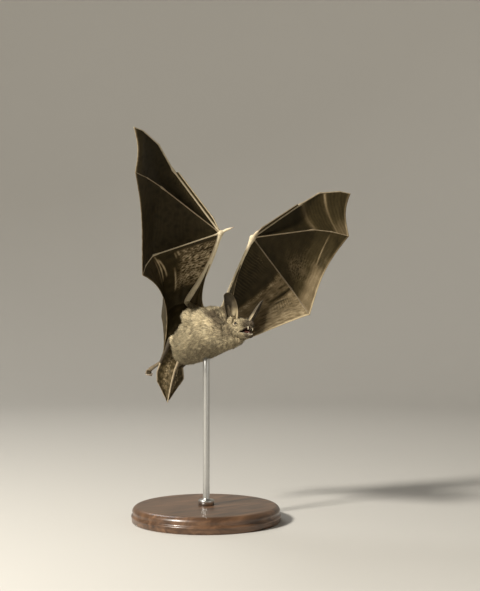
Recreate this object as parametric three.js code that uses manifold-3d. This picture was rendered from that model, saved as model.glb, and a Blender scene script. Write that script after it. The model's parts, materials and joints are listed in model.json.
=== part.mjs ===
// A greater mouse-eared bat in flight, life size, held over a round wooden base by one steel rod.
// Millimetres, +Z up. The origin is the middle of the base's underside, and the bat heads along -Y.
import * as THREE from 'three';
import { LoftGeometry } from 'three/addons/geometries/LoftGeometry.js';
import { mergeVertices } from 'three/addons/utils/BufferGeometryUtils.js';
import Module from 'manifold-3d';

const wasm = await Module();
wasm.setup();

// ---------------------------------------------------------------- driving dimensions

const GAP = 0.35; // clearance between neighbouring pieces
const SKIN = 0.6; // thickness of the wing and tail membranes
const SIDES = { left: 1, right: -1 };

// The body's attitude in flight, and the height of its origin (between the shoulders).
const PITCH = 15; // degrees, nose up
const ROLL = 14; // degrees, left side down
const FLIGHT_HEIGHT = 142;

// Stand: a turned disc and a rod that ends inside the belly's coat.
const BASE = { radius: 56, height: 12, edge: 2, sides: 30 };
const ROD = { radius: 2.5, foot: 6, footHeight: 5, edge: 1, sides: 12 };
const ROD_STATION = -15; // the rod meets the belly this far behind the shoulders
const ROD_TOP = 8.5; // the rod ends this far below the body's origin, inside the belly

// Bone lengths of the wing.
const HUMERUS = 36;
const FOREARM = 61;
const FOREARM_BOW = 3; // the forearm arches forwards and inwards by this much
const THUMB = [5.5, 6.5];
const FINGERS = {
  finger_2: [12, 43],
  finger_3: [59, 20.5, 18, 9],
  finger_4: [57, 15, 14.5],
  finger_5: [55, 13, 12],
};

const SHOULDER = { out: 10, forward: 0, up: 5 };

// Directions of the wing's bones: [sweep, raise] in degrees, where sweep turns from straight out to
// the side towards the front, and raise lifts above the body's own level.
const WING_POSE = {
  left: {
    humerus: [-77, 44],
    forearm: [90, 46],
    thumb: [[99, 18], [99, 6]],
    finger_2: [[10, 54], [2.5, 42]],
    finger_3: [[1.5, 43], [11, 40], [19, 14], [18, -2]],
    finger_4: [[5.5, 20.5], [19, 3], [22, -7]],
    finger_5: [[-14, -29], [22, -52], [44, -55]],
  },
  right: {
    humerus: [-88, 39],
    forearm: [88, 44],
    thumb: [[119, 21], [119, 10]],
    finger_2: [[9, 51], [1, 39.5]],
    finger_3: [[0, 40.5], [11.5, 43], [17, 12], [15, -7]],
    finger_4: [[-1, 22.5], [18.5, 3.5], [22, -6]],
    finger_5: [[-20.5, -27], [22, -55], [46, -57]],
  },
};

// Radii of the fingers with their skin: at each knuckle, along the first shaft and at the tip.
const FINGER_RADII = {
  finger_2: { knuckle: [0.9, 0.7], shaft: 0.55, tip: 0.4 },
  finger_3: { knuckle: [1.6, 1.5, 1.1, 0.8], shaft: 0.9, tip: 0.35 },
  finger_4: { knuckle: [1.5, 1.3, 0.9], shaft: 0.75, tip: 0.35 },
  finger_5: { knuckle: [1.5, 1.35, 0.9], shaft: 0.8, tip: 0.35 },
};
const SHAFT_SPAN = [0.14, 0.88]; // the part of each bone that is as thin as its shaft
const THUMB_RADII = { root: 1.2, knuckle: 0.9, claw: 0.8, tip: 0.3 };
const WRIST = 2.7; // radius of the wrist's knob

// Radii along the arm: [share of its length, radius]. The upper arm's include the coat.
const UPPER_ARM_RADII = [[0, 8], [0.35, 7.2], [0.6, 4.6], [0.8, 2.9], [1, 2.5]];
// The fur below and behind the upper arm: [out, forward, up, radius].
const ARMPIT = [[13, -3, 7, 7], [15.5, -13, 10.5, 6.2], [16, -22, 14, 4.4]];
const FOREARM_RADII = [
  [0, 2.6], [0.06, 3.1], [0.25, 2.6], [0.45, 2.1], [0.7, 1.7], [0.9, 1.6], [0.97, 2.1], [1, 2.3]];

// The trunk with its coat: [forward, centre up, half width, rise, drop] from the rump to the chest.
const TRUNK = [
  [-49.5, -6, 4, 4, 5],
  [-47.5, -5, 9, 8, 9.5],
  [-42, -3, 14, 13, 14.8],
  [-34, 0, 17.5, 16.5, 19.2],
  [-23, 2, 19.5, 19.5, 21.4],
  [-11, 2.5, 20, 20.2, 21.4],
  [0, 2, 18.5, 18.6, 20.4],
  [9, 0.5, 15.5, 16, 18.8],
];
// The neck: [share of the way from chest to head, half width, rise, drop].
const NECK = [[0, 14.6, 15, 18.3], [0.5, 12.2, 12, 16.8], [1, 10, 9.2, 14.4]];

// The head: its own origin is the middle of the brain case. It turns by degrees from the body.
const HEAD_AT = { left: 3.5, forward: 24.5, up: -1 };
const HEAD_TURN = { yaw: -3, pitch: 5, roll: -2 };
// [forward, middle, half width, rise, drop] from the nape to the nose.
const HEAD = [
  [-8.5, -0.6, 8.6, 7.8, 13.6],
  [-4, -0.3, 9.2, 8.6, 14.4],
  [0, -0.6, 8.8, 8.2, 13.6],
  [3.2, -1, 7.4, 7, 11.4],
  [6.2, -1.8, 5.9, 4.9, 8.2],
];
// The upper jaw ahead of the corner of the mouth, in the same terms.
const MUZZLE = [
  [5.95, -2.3, 5.8, 5, 4.2],
  [9, -2.9, 4.9, 4.2, 3.6],
  [12, -3.3, 4.2, 3, 3.1],
  [14.2, -3.6, 3.3, 2.4, 2.5],
  [15.3, -3.7, 2, 1.6, 1.6],
];
// The lower jaw turns about its hinge, and runs along its own axis: [along, half width, rise, drop].
const JAW_HINGE = { forward: 4.2, up: -7.7, open: 27 };
const JAW = [
  [0.4, 4.8, 1.3, 3], [3.5, 4.3, 1.2, 2.7], [7.2, 3.5, 1.1, 2.3], [10.2, 2.5, 1, 1.9], [11.5, 1.3, 0.7, 1]];
const TONGUE = { from: 2.4, length: 6.2, width: 2.2, height: 0.6, over: 1.2 };
const EYE = { forward: 4.3, out: 6, up: -1.2, radius: 1.5 };

// Teeth of one side: a canine, then cheek teeth that step back and out along the jaw.
const UPPER_TEETH = {
  root: -5.6, canine: { forward: 13.6, out: 1.9, length: 3.6, radius: 0.6 },
  cheek: { count: 4, forward: 11.8, out: 2.5, back: 1.5, widen: 0.45, length: 2, radius: 0.55 },
};
const LOWER_TEETH = {
  root: 0.3, canine: { forward: 9.9, out: 1.4, length: 2.6, radius: 0.5 },
  cheek: { count: 3, forward: 8.2, out: 2, back: 1.4, widen: 0.45, length: 1.9, radius: 0.5 },
};
const TOOTH_TIP = 0.08;

// Ears: a leaf rolled into a trough that opens forwards and outwards.
const EAR = {
  length: 20, width: 6.8, base: { forward: 0.4, out: 7.4, up: 4 }, thickness: 0.7, sink: 3,
  lean: { left: [36, 25], right: [33, 34] }, // degrees out and forwards
  opening: { left: 74, right: 50 }, // degrees from straight ahead towards the side
  roll: [1.4, 0.65], // half angle of the trough at its foot and at its tip
  set: 2, // the trough's back stands this far behind the ear's axis at its foot
  curl: 1.5, // and this much further back at its tip
};
const TRAGUS = { length: 10.5, width: 1.5, thickness: 0.6, inset: 1.5, ahead: 1.2 };

// Hind legs in the body's frame: [forward, out, up].
const LEGS = {
  left: {
    hip: [-36, 7, -2],
    knee: [-42, 15, 1],
    ankle: [-62, 9, -11.5],
    heel: [-64.5, 12.5, -20],
    calcar: [-64, 9, -26],
    toes: [-72.5, 12.5, -8],
  },
  right: {
    hip: [-36, 7, -2],
    knee: [-42, 14.5, 1],
    ankle: [-63.5, 9.5, -11.5],
    heel: [-65.5, 11, -19.5],
    calcar: [-66, 10, -26.5],
    toes: [-77.5, 10.5, -14.5],
  },
};
// Radii along each part of the leg: [share of its length, radius]. The thigh's include the coat.
const THIGH_RADII = [[0, 6.5], [0.5, 5.5], [1, 4]];
const SHIN_RADII = [[0, 2.4], [0.3, 2], [0.9, 1.2], [1, 1.3]];
const CALCAR_RADII = { ankle: 1, heel: 0.7, tip: 0.4 };
const SOLE_RADII = [[0, 1.15], [0.5, 1.2], [1, 1.5]];
// Each toe starts side by side on the sole, bends down and ends in a hooked claw:
// [ahead of the sole's end, down, radius].
const TOE = [[-1.6, 0, 0.6], [1.8, 0.3, 0.5], [2.9, 2.6, 0.42], [2.1, 4.8, 0.12]];
const TOES = { count: 5, pitch: 0.56, splay: 0.15 };

// The tail in the body's own middle plane, from the rump to its tip: [forward, up].
const TAIL = [[-45, -6], [-52.5, -10.5], [-57.8, -18], [-61.5, -28], [-65, -41.5]];
const TAIL_RADII = [2.6, 1.5, 1.1, 0.9, 0.5];

// How far each wing's trailing edge draws in between the fifth finger and the ankle.
const TRAILING_PULL = { left: 0.08, right: 1 };
const SCALLOP = { fore: 0.035, aft: 0.06 }; // share by which a panel draws in between two finger tips
const BILLOW = { hand: 3.5, flank: 4 }; // depths to which panels bulge towards the back of the wing

// ---------------------------------------------------------------- points, lofts and booleans

const RAD = Math.PI / 180;
const ACROSS_SEED = new THREE.Vector3(0.31, 0.47, 0.83); // lies along no limb
const at = (out, forward, up, side = 1) => new THREE.Vector3(side * out, -forward, up);
const lerp = (a, b, t) => a.clone().lerp(b, t);
const sub = (a, b) => a.clone().sub(b);

// A unit vector from a [sweep, raise] pair.
function heading([sweep, raise], side) {
  const level = Math.cos(raise * RAD);
  return at(Math.cos(sweep * RAD) * level, Math.sin(sweep * RAD) * level, Math.sin(raise * RAD), side);
}

// Joints of a chain of bones.
function chain(start, lengths, headings, side) {
  const joints = [start];
  lengths.forEach((length, i) => {
    joints.push(joints[i].clone().addScaledVector(heading(headings[i], side), length));
  });
  return joints;
}

// The point a share of the way along a chain of joints.
function along(joints, share) {
  const steps = joints.slice(1).map((joint, i) => joint.distanceTo(joints[i]));
  let left = share * steps.reduce((sum, step) => sum + step, 0);
  for (let i = 0; i < steps.length; i++) {
    if (left <= steps[i] || i === steps.length - 1) return lerp(joints[i], joints[i + 1], left / steps[i]);
    left -= steps[i];
  }
  return joints[joints.length - 1].clone();
}

function signedVolume(geometry) {
  const position = geometry.getAttribute('position');
  const index = geometry.getIndex();
  const corner = (i) => new THREE.Vector3().fromBufferAttribute(position, index.getX(i));
  let sum = 0;
  for (let i = 0; i < index.count; i += 3) sum += corner(i).dot(corner(i + 1).cross(corner(i + 2)));
  return sum / 6;
}

// A geometry of shared vertices only, which booleans and the closed-body test need.
function welded(geometry) {
  const bare = new THREE.BufferGeometry();
  bare.setAttribute('position', geometry.getAttribute('position').clone());
  bare.setIndex(geometry.getIndex().clone());
  return mergeVertices(bare, 1e-4);
}

// Turns a closed geometry's faces outwards.
function outward(geometry) {
  if (signedVolume(geometry) < 0) geometry.getIndex().array.reverse();
  return geometry;
}

// A closed solid through ring-shaped sections.
const loft = (sections) => outward(welded(new LoftGeometry(sections, { capStart: true, capEnd: true })));

function toManifold(geometry) {
  const bare = welded(geometry);
  return new wasm.Manifold(new wasm.Mesh({
    numProp: 3,
    vertProperties: new Float32Array(bare.getAttribute('position').array),
    triVerts: new Uint32Array(bare.getIndex().array),
  }));
}

function toGeometry(manifold) {
  const mesh = manifold.getMesh();
  const geometry = new THREE.BufferGeometry();
  geometry.setAttribute('position', new THREE.Float32BufferAttribute(mesh.vertProperties, 3));
  geometry.setIndex(new THREE.Uint32BufferAttribute(mesh.triVerts, 1));
  return geometry;
}

// Cuts the tools out of a body and keeps the largest piece that is left.
function cut(geometry, ...tools) {
  let body = toManifold(geometry);
  for (const tool of tools) body = body.subtract(toManifold(tool));
  const pieces = body.decompose();
  pieces.sort((a, b) => b.volume() - a.volume());
  return toGeometry(pieces[0]);
}

function join(geometry, ...others) {
  let body = toManifold(geometry);
  for (const other of others) body = body.add(toManifold(other));
  return toGeometry(body);
}

// An oval ring of points: half width to each side, with its own rise and drop.
function oval(centre, across, up, width, rise, drop, count) {
  return Array.from({ length: count }, (_, i) => {
    const angle = (i / count) * 2 * Math.PI;
    const high = Math.sin(angle) * (Math.sin(angle) > 0 ? rise : drop);
    return centre.clone().addScaledVector(across, Math.cos(angle) * width).addScaledVector(up, high);
  });
}

// Stations of a straight limb from a list of [share of its length, radius].
const stationsBetween = (from, to, radii) => (
  radii.map(([share, radius]) => ({ point: lerp(from, to, share), radius })));

// A tapering round limb through stations of { point, radius }, optionally grown by a clearance.
function limb(stations, sides, grow = 0) {
  const across = new THREE.Vector3();
  const sections = stations.map(({ point, radius }, i) => {
    const ahead = stations[Math.min(i + 1, stations.length - 1)].point;
    const behind = stations[Math.max(i - 1, 0)].point;
    const tangent = sub(ahead, behind).normalize();
    if (i === 0) across.copy(ACROSS_SEED);
    across.addScaledVector(tangent, -across.dot(tangent)).normalize();
    const up = new THREE.Vector3().crossVectors(tangent, across);
    const reach = radius + grow;
    const shift = (i === 0 ? -grow : 0) + (i === stations.length - 1 ? grow : 0);
    return oval(point.clone().addScaledVector(tangent, shift), across, up, reach, reach, reach, sides);
  });
  return loft(sections);
}

// A membrane: the grid of its middle surface, thickened both ways and closed at its first and last rows.
function sheet(rows, thickness = SKIN) {
  const last = rows.length - 1;
  const end = rows[0].length - 1;
  const normal = (i, j) => {
    const down = sub(rows[Math.min(i + 1, last)][j], rows[Math.max(i - 1, 0)][j]);
    const over = sub(rows[i][Math.min(j + 1, end)], rows[i][Math.max(j - 1, 0)]);
    return down.cross(over).normalize();
  };
  const walls = new LoftGeometry(rows.map((row, i) => {
    const face = (way) => row.map((p, j) => p.clone().addScaledVector(normal(i, j), (way * thickness) / 2));
    return [...face(1), ...face(-1).reverse()];
  }));
  const ring = 2 * (end + 1);
  const index = [...walls.getIndex().array];
  for (let j = 0; j < end; j++) {
    const opposite = ring - 1 - j;
    const far = last * (ring + 1);
    index.push(j, opposite, j + 1, j + 1, opposite, opposite - 1);
    index.push(far + j, far + j + 1, far + opposite, far + j + 1, far + opposite - 1, far + opposite);
  }
  walls.setIndex(index);
  return outward(welded(walls));
}

const grid = (rowCount, columnCount, surface) => Array.from({ length: rowCount }, (_, i) => (
  Array.from({ length: columnCount }, (_, j) => surface(i / (rowCount - 1), j / (columnCount - 1)))));

// ---------------------------------------------------------------- the scene graph

const object = new THREE.Group();
const bat = new THREE.Group();
object.add(bat);

const finish = (color, roughness, metalness = 0) => () => (
  new THREE.MeshStandardMaterial({ color, roughness, metalness }));
const COAT = finish(0xc9b48a, 0.95);
const FACE = finish(0x8d7458, 0.8);
const BARE = finish(0xb0906c, 0.6);
const MEMBRANE = finish(0x4a3d2c, 0.55);
const EAR_SKIN = finish(0x8a7154, 0.6);
const WET = finish(0x15100c, 0.1);
const FLESH = finish(0x8f4a40, 0.45);
const WOOD = finish(0x5a3a22, 0.5);
const STEEL = finish(0xb9bcc0, 0.3, 1);

function add(group, name, geometry, material) {
  const mesh = new THREE.Mesh(geometry, material());
  mesh.name = name;
  group.add(mesh);
  return geometry;
}

// ---------------------------------------------------------------- body

const LEFT = at(1, 0, 0);
const UP = at(0, 0, 1);
const RING = 14; // sides of the trunk, neck and head

function trunkSolid(grow = 0) {
  const last = TRUNK.length - 1;
  return loft(TRUNK.map(([forward, up, width, rise, drop], i) => {
    const reach = forward + (i === 0 ? -grow : 0) + (i === last ? grow : 0);
    return oval(at(0, reach, up), LEFT, UP, width + grow, rise + grow, drop + grow, RING);
  }));
}

// The head's own axes, turned from the body's.
const headTurn = new THREE.Euler(-HEAD_TURN.pitch * RAD, HEAD_TURN.roll * RAD, HEAD_TURN.yaw * RAD, 'ZXY');
const headOrigin = at(HEAD_AT.left, HEAD_AT.forward, HEAD_AT.up);
const inHead = (out, forward, up, side = 1) => (
  at(out, forward, up, side).applyEuler(headTurn).add(headOrigin));
const headLeft = LEFT.clone().applyEuler(headTurn);
const headUp = UP.clone().applyEuler(headTurn);

const headRing = ([forward, middle, width, rise, drop], grow = 0) => (
  oval(inHead(0, forward, middle), headLeft, headUp, width + grow, rise + grow, drop + grow, RING));

function headSolid(grow = 0) {
  const skull = loft(HEAD.map((station) => headRing(station, grow)));
  const muzzle = loft(MUZZLE.map((station) => headRing(station, grow)));
  return join(skull, muzzle);
}

function neckSolid() {
  const chest = TRUNK[TRUNK.length - 1];
  const from = at(0, chest[0] + GAP, chest[1]);
  const nape = HEAD[0];
  const to = inHead(0, nape[0] - GAP, nape[1]);
  return loft(NECK.map(([share, width, rise, drop]) => {
    const across = LEFT.clone().lerp(headLeft, share).normalize();
    const up = UP.clone().lerp(headUp, share).normalize();
    return oval(lerp(from, to, share), across, up, width, rise, drop, RING);
  }));
}

// The teeth of both sides as pointed cones, placed by a function of (out, forward, up, side) and
// pointing one way along it.
function teeth({ root, canine, cheek }, place, way) {
  const cone = (out, forward, length, radius, side) => limb([
    { point: place(out, forward, root, side), radius },
    { point: place(out, forward, root + way * length, side), radius: TOOTH_TIP }], 4);
  return [1, -1].flatMap((side) => [
    cone(canine.out, canine.forward, canine.length, canine.radius, side),
    ...Array.from({ length: cheek.count }, (_, i) => (
      cone(cheek.out + i * cheek.widen, cheek.forward - i * cheek.back, cheek.length, cheek.radius, side))),
  ]);
}

// A place on the open lower jaw: along its axis, out to the side and above its middle line.
function inJaw(out, forward, up, side = 1) {
  const open = JAW_HINGE.open * RAD;
  const reach = JAW_HINGE.forward + forward * Math.cos(open) + up * Math.sin(open);
  return inHead(out, reach, JAW_HINGE.up - forward * Math.sin(open) + up * Math.cos(open), side);
}
const jawUp = sub(inJaw(0, 0, 1), inJaw(0, 0, 0));

function jawSolid() {
  const bone = loft(JAW.map(([forward, width, rise, drop]) => (
    oval(inJaw(0, forward, 0), headLeft, jawUp, width, rise, drop, 10))));
  return join(bone, ...teeth(LOWER_TEETH, inJaw, 1));
}

function tongueSolid() {
  const { from, length, width, height, over } = TONGUE;
  return loft([0, 0.2, 0.6, 1].map((share) => {
    const fullness = 0.35 + 0.65 * Math.sin(Math.PI * share) ** 0.5;
    const centre = inJaw(0, from + length * share, over + GAP + height);
    return oval(centre, headLeft, jawUp, width * fullness, height * fullness, height, 10);
  }));
}

const eyeCentre = (side) => inHead(EYE.out, EYE.forward, EYE.up, side);
const eyeBall = (side, grow = 0) => (
  new THREE.SphereGeometry(EYE.radius + grow, 9, 6).translate(...eyeCentre(side)));

// ---------------------------------------------------------------- ears

// The ear's own directions: its long axis, the way its opening faces, and across it.
function earAxes(name) {
  const side = SIDES[name];
  const [leanOut, leanForward] = EAR.lean[name];
  const open = EAR.opening[name] * RAD;
  const toward = (out, forward, up) => inHead(out, forward, up, side).sub(headOrigin);
  const axis = toward(Math.tan(leanOut * RAD), Math.tan(leanForward * RAD), 1).normalize();
  const face = toward(Math.sin(open), Math.cos(open), 0);
  face.addScaledVector(axis, -face.dot(axis)).normalize();
  const across = new THREE.Vector3().crossVectors(axis, face).multiplyScalar(side);
  const root = inHead(EAR.base.out, EAR.base.forward, EAR.base.up, side).addScaledVector(axis, -EAR.sink);
  return { axis, face, across, root };
}

function earSolid(name) {
  const { axis, face, across, root } = earAxes(name);
  const place = (up, over, front) => root.clone().addScaledVector(axis, up).addScaledVector(across, over)
    .addScaledVector(face, front);
  const leaf = sheet(grid(8, 6, (share, over) => {
    const half = EAR.width * Math.sin(Math.PI * (0.2 + 0.765 * share)) ** 0.7;
    const roll = THREE.MathUtils.lerp(EAR.roll[0], EAR.roll[1], share);
    const turn = (2 * over - 1) * roll;
    const radius = half / roll;
    const back = radius * Math.cos(turn) - EAR.set + EAR.curl * share * share;
    return place((EAR.length + EAR.sink) * share, radius * Math.sin(turn), -back);
  }), EAR.thickness);
  const spear = sheet(grid(5, 3, (share, over) => {
    const half = TRAGUS.width * (1.02 - share) ** 0.6;
    const out = (2 * over - 1) * half - TRAGUS.inset;
    return place((TRAGUS.length + EAR.sink) * share, out, TRAGUS.ahead);
  }), TRAGUS.thickness);
  return join(leaf, spear);
}

// ---------------------------------------------------------------- wings

const wings = {};
for (const name of Object.keys(SIDES)) {
  const side = SIDES[name];
  const pose = WING_POSE[name];
  const shoulder = at(SHOULDER.out, SHOULDER.forward, SHOULDER.up, side);
  const [, elbow] = chain(shoulder, [HUMERUS], [pose.humerus], side);
  const [, wrist] = chain(elbow, [FOREARM], [pose.forearm], side);
  const digits = {};
  for (const digit of Object.keys(FINGERS)) digits[digit] = chain(wrist, FINGERS[digit], pose[digit], side);
  wings[name] = { side, shoulder, elbow, wrist, digits, thumb: chain(wrist, THUMB, pose.thumb, side) };
}

function fingerStations(digit, joints) {
  const { knuckle, shaft, tip } = FINGER_RADII[digit];
  const stations = [];
  for (let i = 0; i < joints.length - 1; i++) {
    const from = joints[i];
    const to = joints[i + 1];
    const thick = shaft + ((tip - shaft) * i) / joints.length;
    const next = knuckle[i + 1] ?? tip;
    if (i === 0) stations.push({ point: from, radius: knuckle[0] });
    for (const share of SHAFT_SPAN) stations.push({ point: lerp(from, to, share), radius: thick });
    stations.push({ point: to, radius: next });
  }
  return stations;
}

// A point of the forearm, which is slightly bowed.
function forearmPoint({ side, elbow, wrist }, share) {
  const bow = at(-1, 1, 0, side).normalize().multiplyScalar(FOREARM_BOW * Math.sin(Math.PI * share));
  return lerp(elbow, wrist, share).add(bow);
}

const forearmStations = (wing) => (
  FOREARM_RADII.map(([share, radius]) => ({ point: forearmPoint(wing, share), radius })));

const thumbStations = ({ thumb }) => [
  { point: thumb[0], radius: THUMB_RADII.root },
  { point: thumb[1], radius: THUMB_RADII.knuckle },
  { point: lerp(thumb[1], thumb[2], 0.5), radius: THUMB_RADII.claw },
  { point: thumb[2], radius: THUMB_RADII.tip }];

const wristBall = ({ wrist }, grow = 0) => new THREE.SphereGeometry(WRIST + grow, 8, 6).translate(...wrist);

// The panel between two fingers, drawn in at its free edge and bulging to the back of the wing.
function panel(fore, aft, side, pull) {
  const back = sub(fore.at(-1), fore[0]).cross(sub(aft.at(-1), aft[0])).normalize().multiplyScalar(side);
  return sheet(grid(7, 5, (share, over) => {
    const hollow = Math.sin(Math.PI * over);
    const reach = (0.05 + 0.95 * share) * (1 - pull * hollow * share);
    const depth = BILLOW.hand * hollow * Math.sin(Math.PI * Math.min(reach * 1.1, 1)) ** 0.7;
    return lerp(along(fore, reach), along(aft, reach), over).addScaledVector(back, depth);
  }));
}

// The narrow strip between the second finger and the third.
function leadMembrane({ digits }) {
  const third = digits.finger_3.slice(0, 2);
  return sheet(grid(7, 3, (share, over) => {
    const reach = 0.18 + 0.8 * share;
    return lerp(along(digits.finger_2, reach), along(third, reach * 0.94), over);
  }));
}

// The small membrane ahead of the elbow: its free edge runs from the shoulder in towards the forearm.
function foreMembrane(wing) {
  const { side, shoulder, elbow } = wing;
  const root = shoulder.clone().add(at(2, 5, 7, side));
  const merge = 0.7; // the share of the forearm at which the free edge meets it
  const edge = new THREE.CubicBezierCurve3(root, lerp(root, elbow, 0.4),
    forearmPoint(wing, 0.22).lerp(root, 0.2), forearmPoint(wing, merge));
  const end = 0.96;
  return sheet(grid(8, 3, (share, over) => (
    lerp(forearmPoint(wing, end * merge * share), edge.getPoint(end * share), over))));
}

// The large membrane between the arm, the fifth finger, the leg and the flank, as a Coons patch.
function flankMembrane(name) {
  const { side, shoulder, elbow, wrist, digits } = wings[name];
  const leg = legs[name];
  const pull = TRAILING_PULL[name];
  const tip = digits.finger_5.at(-1);
  const top = shoulder.clone().add(at(1, -3, 3, side));
  const trailing = new THREE.CubicBezierCurve3(
    tip,
    tip.clone().add(at(-44, -24, 6, side).multiplyScalar(pull)),
    leg.ankle.clone().add(at(9, 22, 9, side).multiplyScalar(pull)),
    leg.ankle,
  );
  const flank = [top, at(13, -20, 6, side), at(11, -36, 2, side), leg.knee, leg.ankle];
  const arm = [wrist, forearmPoint(wings[name], 0.66), forearmPoint(wings[name], 0.33), elbow, top];
  const corner = { a: wrist, b: top, c: tip, d: leg.ankle };
  const surface = (share, over) => {
    const lead = along(arm, over);
    const trail = trailing.getPoint(over);
    const outer = along(digits.finger_5, share);
    const inner = along(flank, share);
    const across = lerp(lead, trail, share).add(lerp(outer, inner, over));
    return across.sub(lerp(lerp(corner.a, corner.b, over), lerp(corner.c, corner.d, over), share));
  };
  const back = at(0.75, -0.5, 0.3, side).normalize();
  return sheet(grid(7, 9, (share, over) => surface(0.02 + 0.98 * share, 0.02 + 0.96 * over)
    .addScaledVector(back, BILLOW.flank * Math.sin(Math.PI * share) * Math.sin(Math.PI * over))));
}

// ---------------------------------------------------------------- hind legs and tail

const legs = {};
for (const name of Object.keys(SIDES)) {
  legs[name] = {};
  for (const [joint, [forward, out, up]] of Object.entries(LEGS[name])) {
    legs[name][joint] = at(out, forward, up, SIDES[name]);
  }
}

const calcarStations = ({ ankle, heel, calcar }) => [
  { point: ankle, radius: CALCAR_RADII.ankle },
  { point: heel, radius: CALCAR_RADII.heel },
  { point: calcar, radius: CALCAR_RADII.tip }];

// A foot: a narrow sole and a row of toes that bend down and end in claws.
function footSolid(name) {
  const { ankle, toes } = legs[name];
  const ahead = sub(toes, ankle).normalize();
  const across = new THREE.Vector3().crossVectors(ahead, UP).normalize();
  const down = new THREE.Vector3().crossVectors(ahead, across).normalize();
  const digits = Array.from({ length: TOES.count }, (_, i) => {
    const fan = i - (TOES.count - 1) / 2;
    return limb(TOE.map(([forward, drop, radius]) => ({
      point: toes.clone().addScaledVector(across, fan * (TOES.pitch + TOES.splay * forward))
        .addScaledVector(ahead, forward).addScaledVector(down, drop),
      radius,
    })), 4);
  });
  return join(limb(stationsBetween(ankle, toes, SOLE_RADII), 6), ...digits);
}

const tailPoints = TAIL.map(([forward, up]) => at(0, forward, up));
const tailStations = () => tailPoints.map((point, i) => ({ point, radius: TAIL_RADII[i] }));

// One half of the tail membrane, from the tail out to the shin and the calcar.
function tailMembrane(name) {
  const { side } = wings[name];
  const { knee, ankle, heel, calcar } = legs[name];
  const outer = [knee, ankle, heel, calcar, lerp(calcar, tailPoints.at(-1), 0.85)];
  const hang = at(0.2, 1, -0.5, side).normalize();
  return sheet(grid(8, 4, (share, over) => {
    const middle = along(tailPoints, 0.06 + 0.93 * share);
    const edge = along(outer, 0.25 + 0.75 * share);
    return lerp(middle, edge, over).addScaledVector(hang, -1.5 * Math.sin(Math.PI * over));
  }));
}

// ---------------------------------------------------------------- assembly

const flightCentre = at(0, ROD_STATION, 0);
const attitude = new THREE.Euler(-PITCH * RAD, ROLL * RAD, 0, 'XYZ');
bat.setRotationFromEuler(attitude);
const overBase = flightCentre.clone().applyEuler(attitude);
bat.position.set(-overBase.x, -overBase.y, FLIGHT_HEIGHT);

// A turned solid about the upright axis, from a profile of [radius, height].
const turned = (profile, sides) => (
  new THREE.LatheGeometry(profile.map((point) => new THREE.Vector2(...point)), sides).rotateX(Math.PI / 2));

function rodSolid(grow = 0) {
  const { foot, edge } = ROD;
  const low = BASE.height + GAP;
  const collar = BASE.height + ROD.footHeight;
  const radius = ROD.radius + grow;
  const top = FLIGHT_HEIGHT + overBase.z - ROD_TOP + grow;
  return turned([
    [0, low], [foot, low], [foot, collar - edge], [foot - edge, collar], [radius, collar],
    [radius, top - edge], [radius - edge, top], [0, top]], ROD.sides);
}

// The rod in the bat's own frame, to make room for it in the belly.
function rodInBatFrame(grow) {
  const inverse = new THREE.Matrix4().makeRotationFromEuler(attitude).setPosition(bat.position).invert();
  return rodSolid(grow).applyMatrix4(inverse);
}

function baseSolid() {
  const { radius, height, edge, sides } = BASE;
  return turned([
    [0, 0], [radius, 0], [radius, height - edge], [radius - edge, height], [0, height]], sides);
}

add(object, 'stand_base', welded(baseSolid()), WOOD);
add(object, 'stand_rod', welded(rodSolid()), STEEL);

const fatHead = headSolid(GAP);
add(bat, 'trunk', cut(trunkSolid(), rodInBatFrame(GAP)), COAT);
add(bat, 'neck', neckSolid(), COAT);
const upperJaw = join(headSolid(), ...teeth(UPPER_TEETH, inHead, -1));
add(bat, 'head', cut(upperJaw, eyeBall(1, GAP), eyeBall(-1, GAP)), FACE);
add(bat, 'jaw', cut(jawSolid(), fatHead), FACE);
add(bat, 'tongue', cut(tongueSolid(), fatHead), FLESH);

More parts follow.
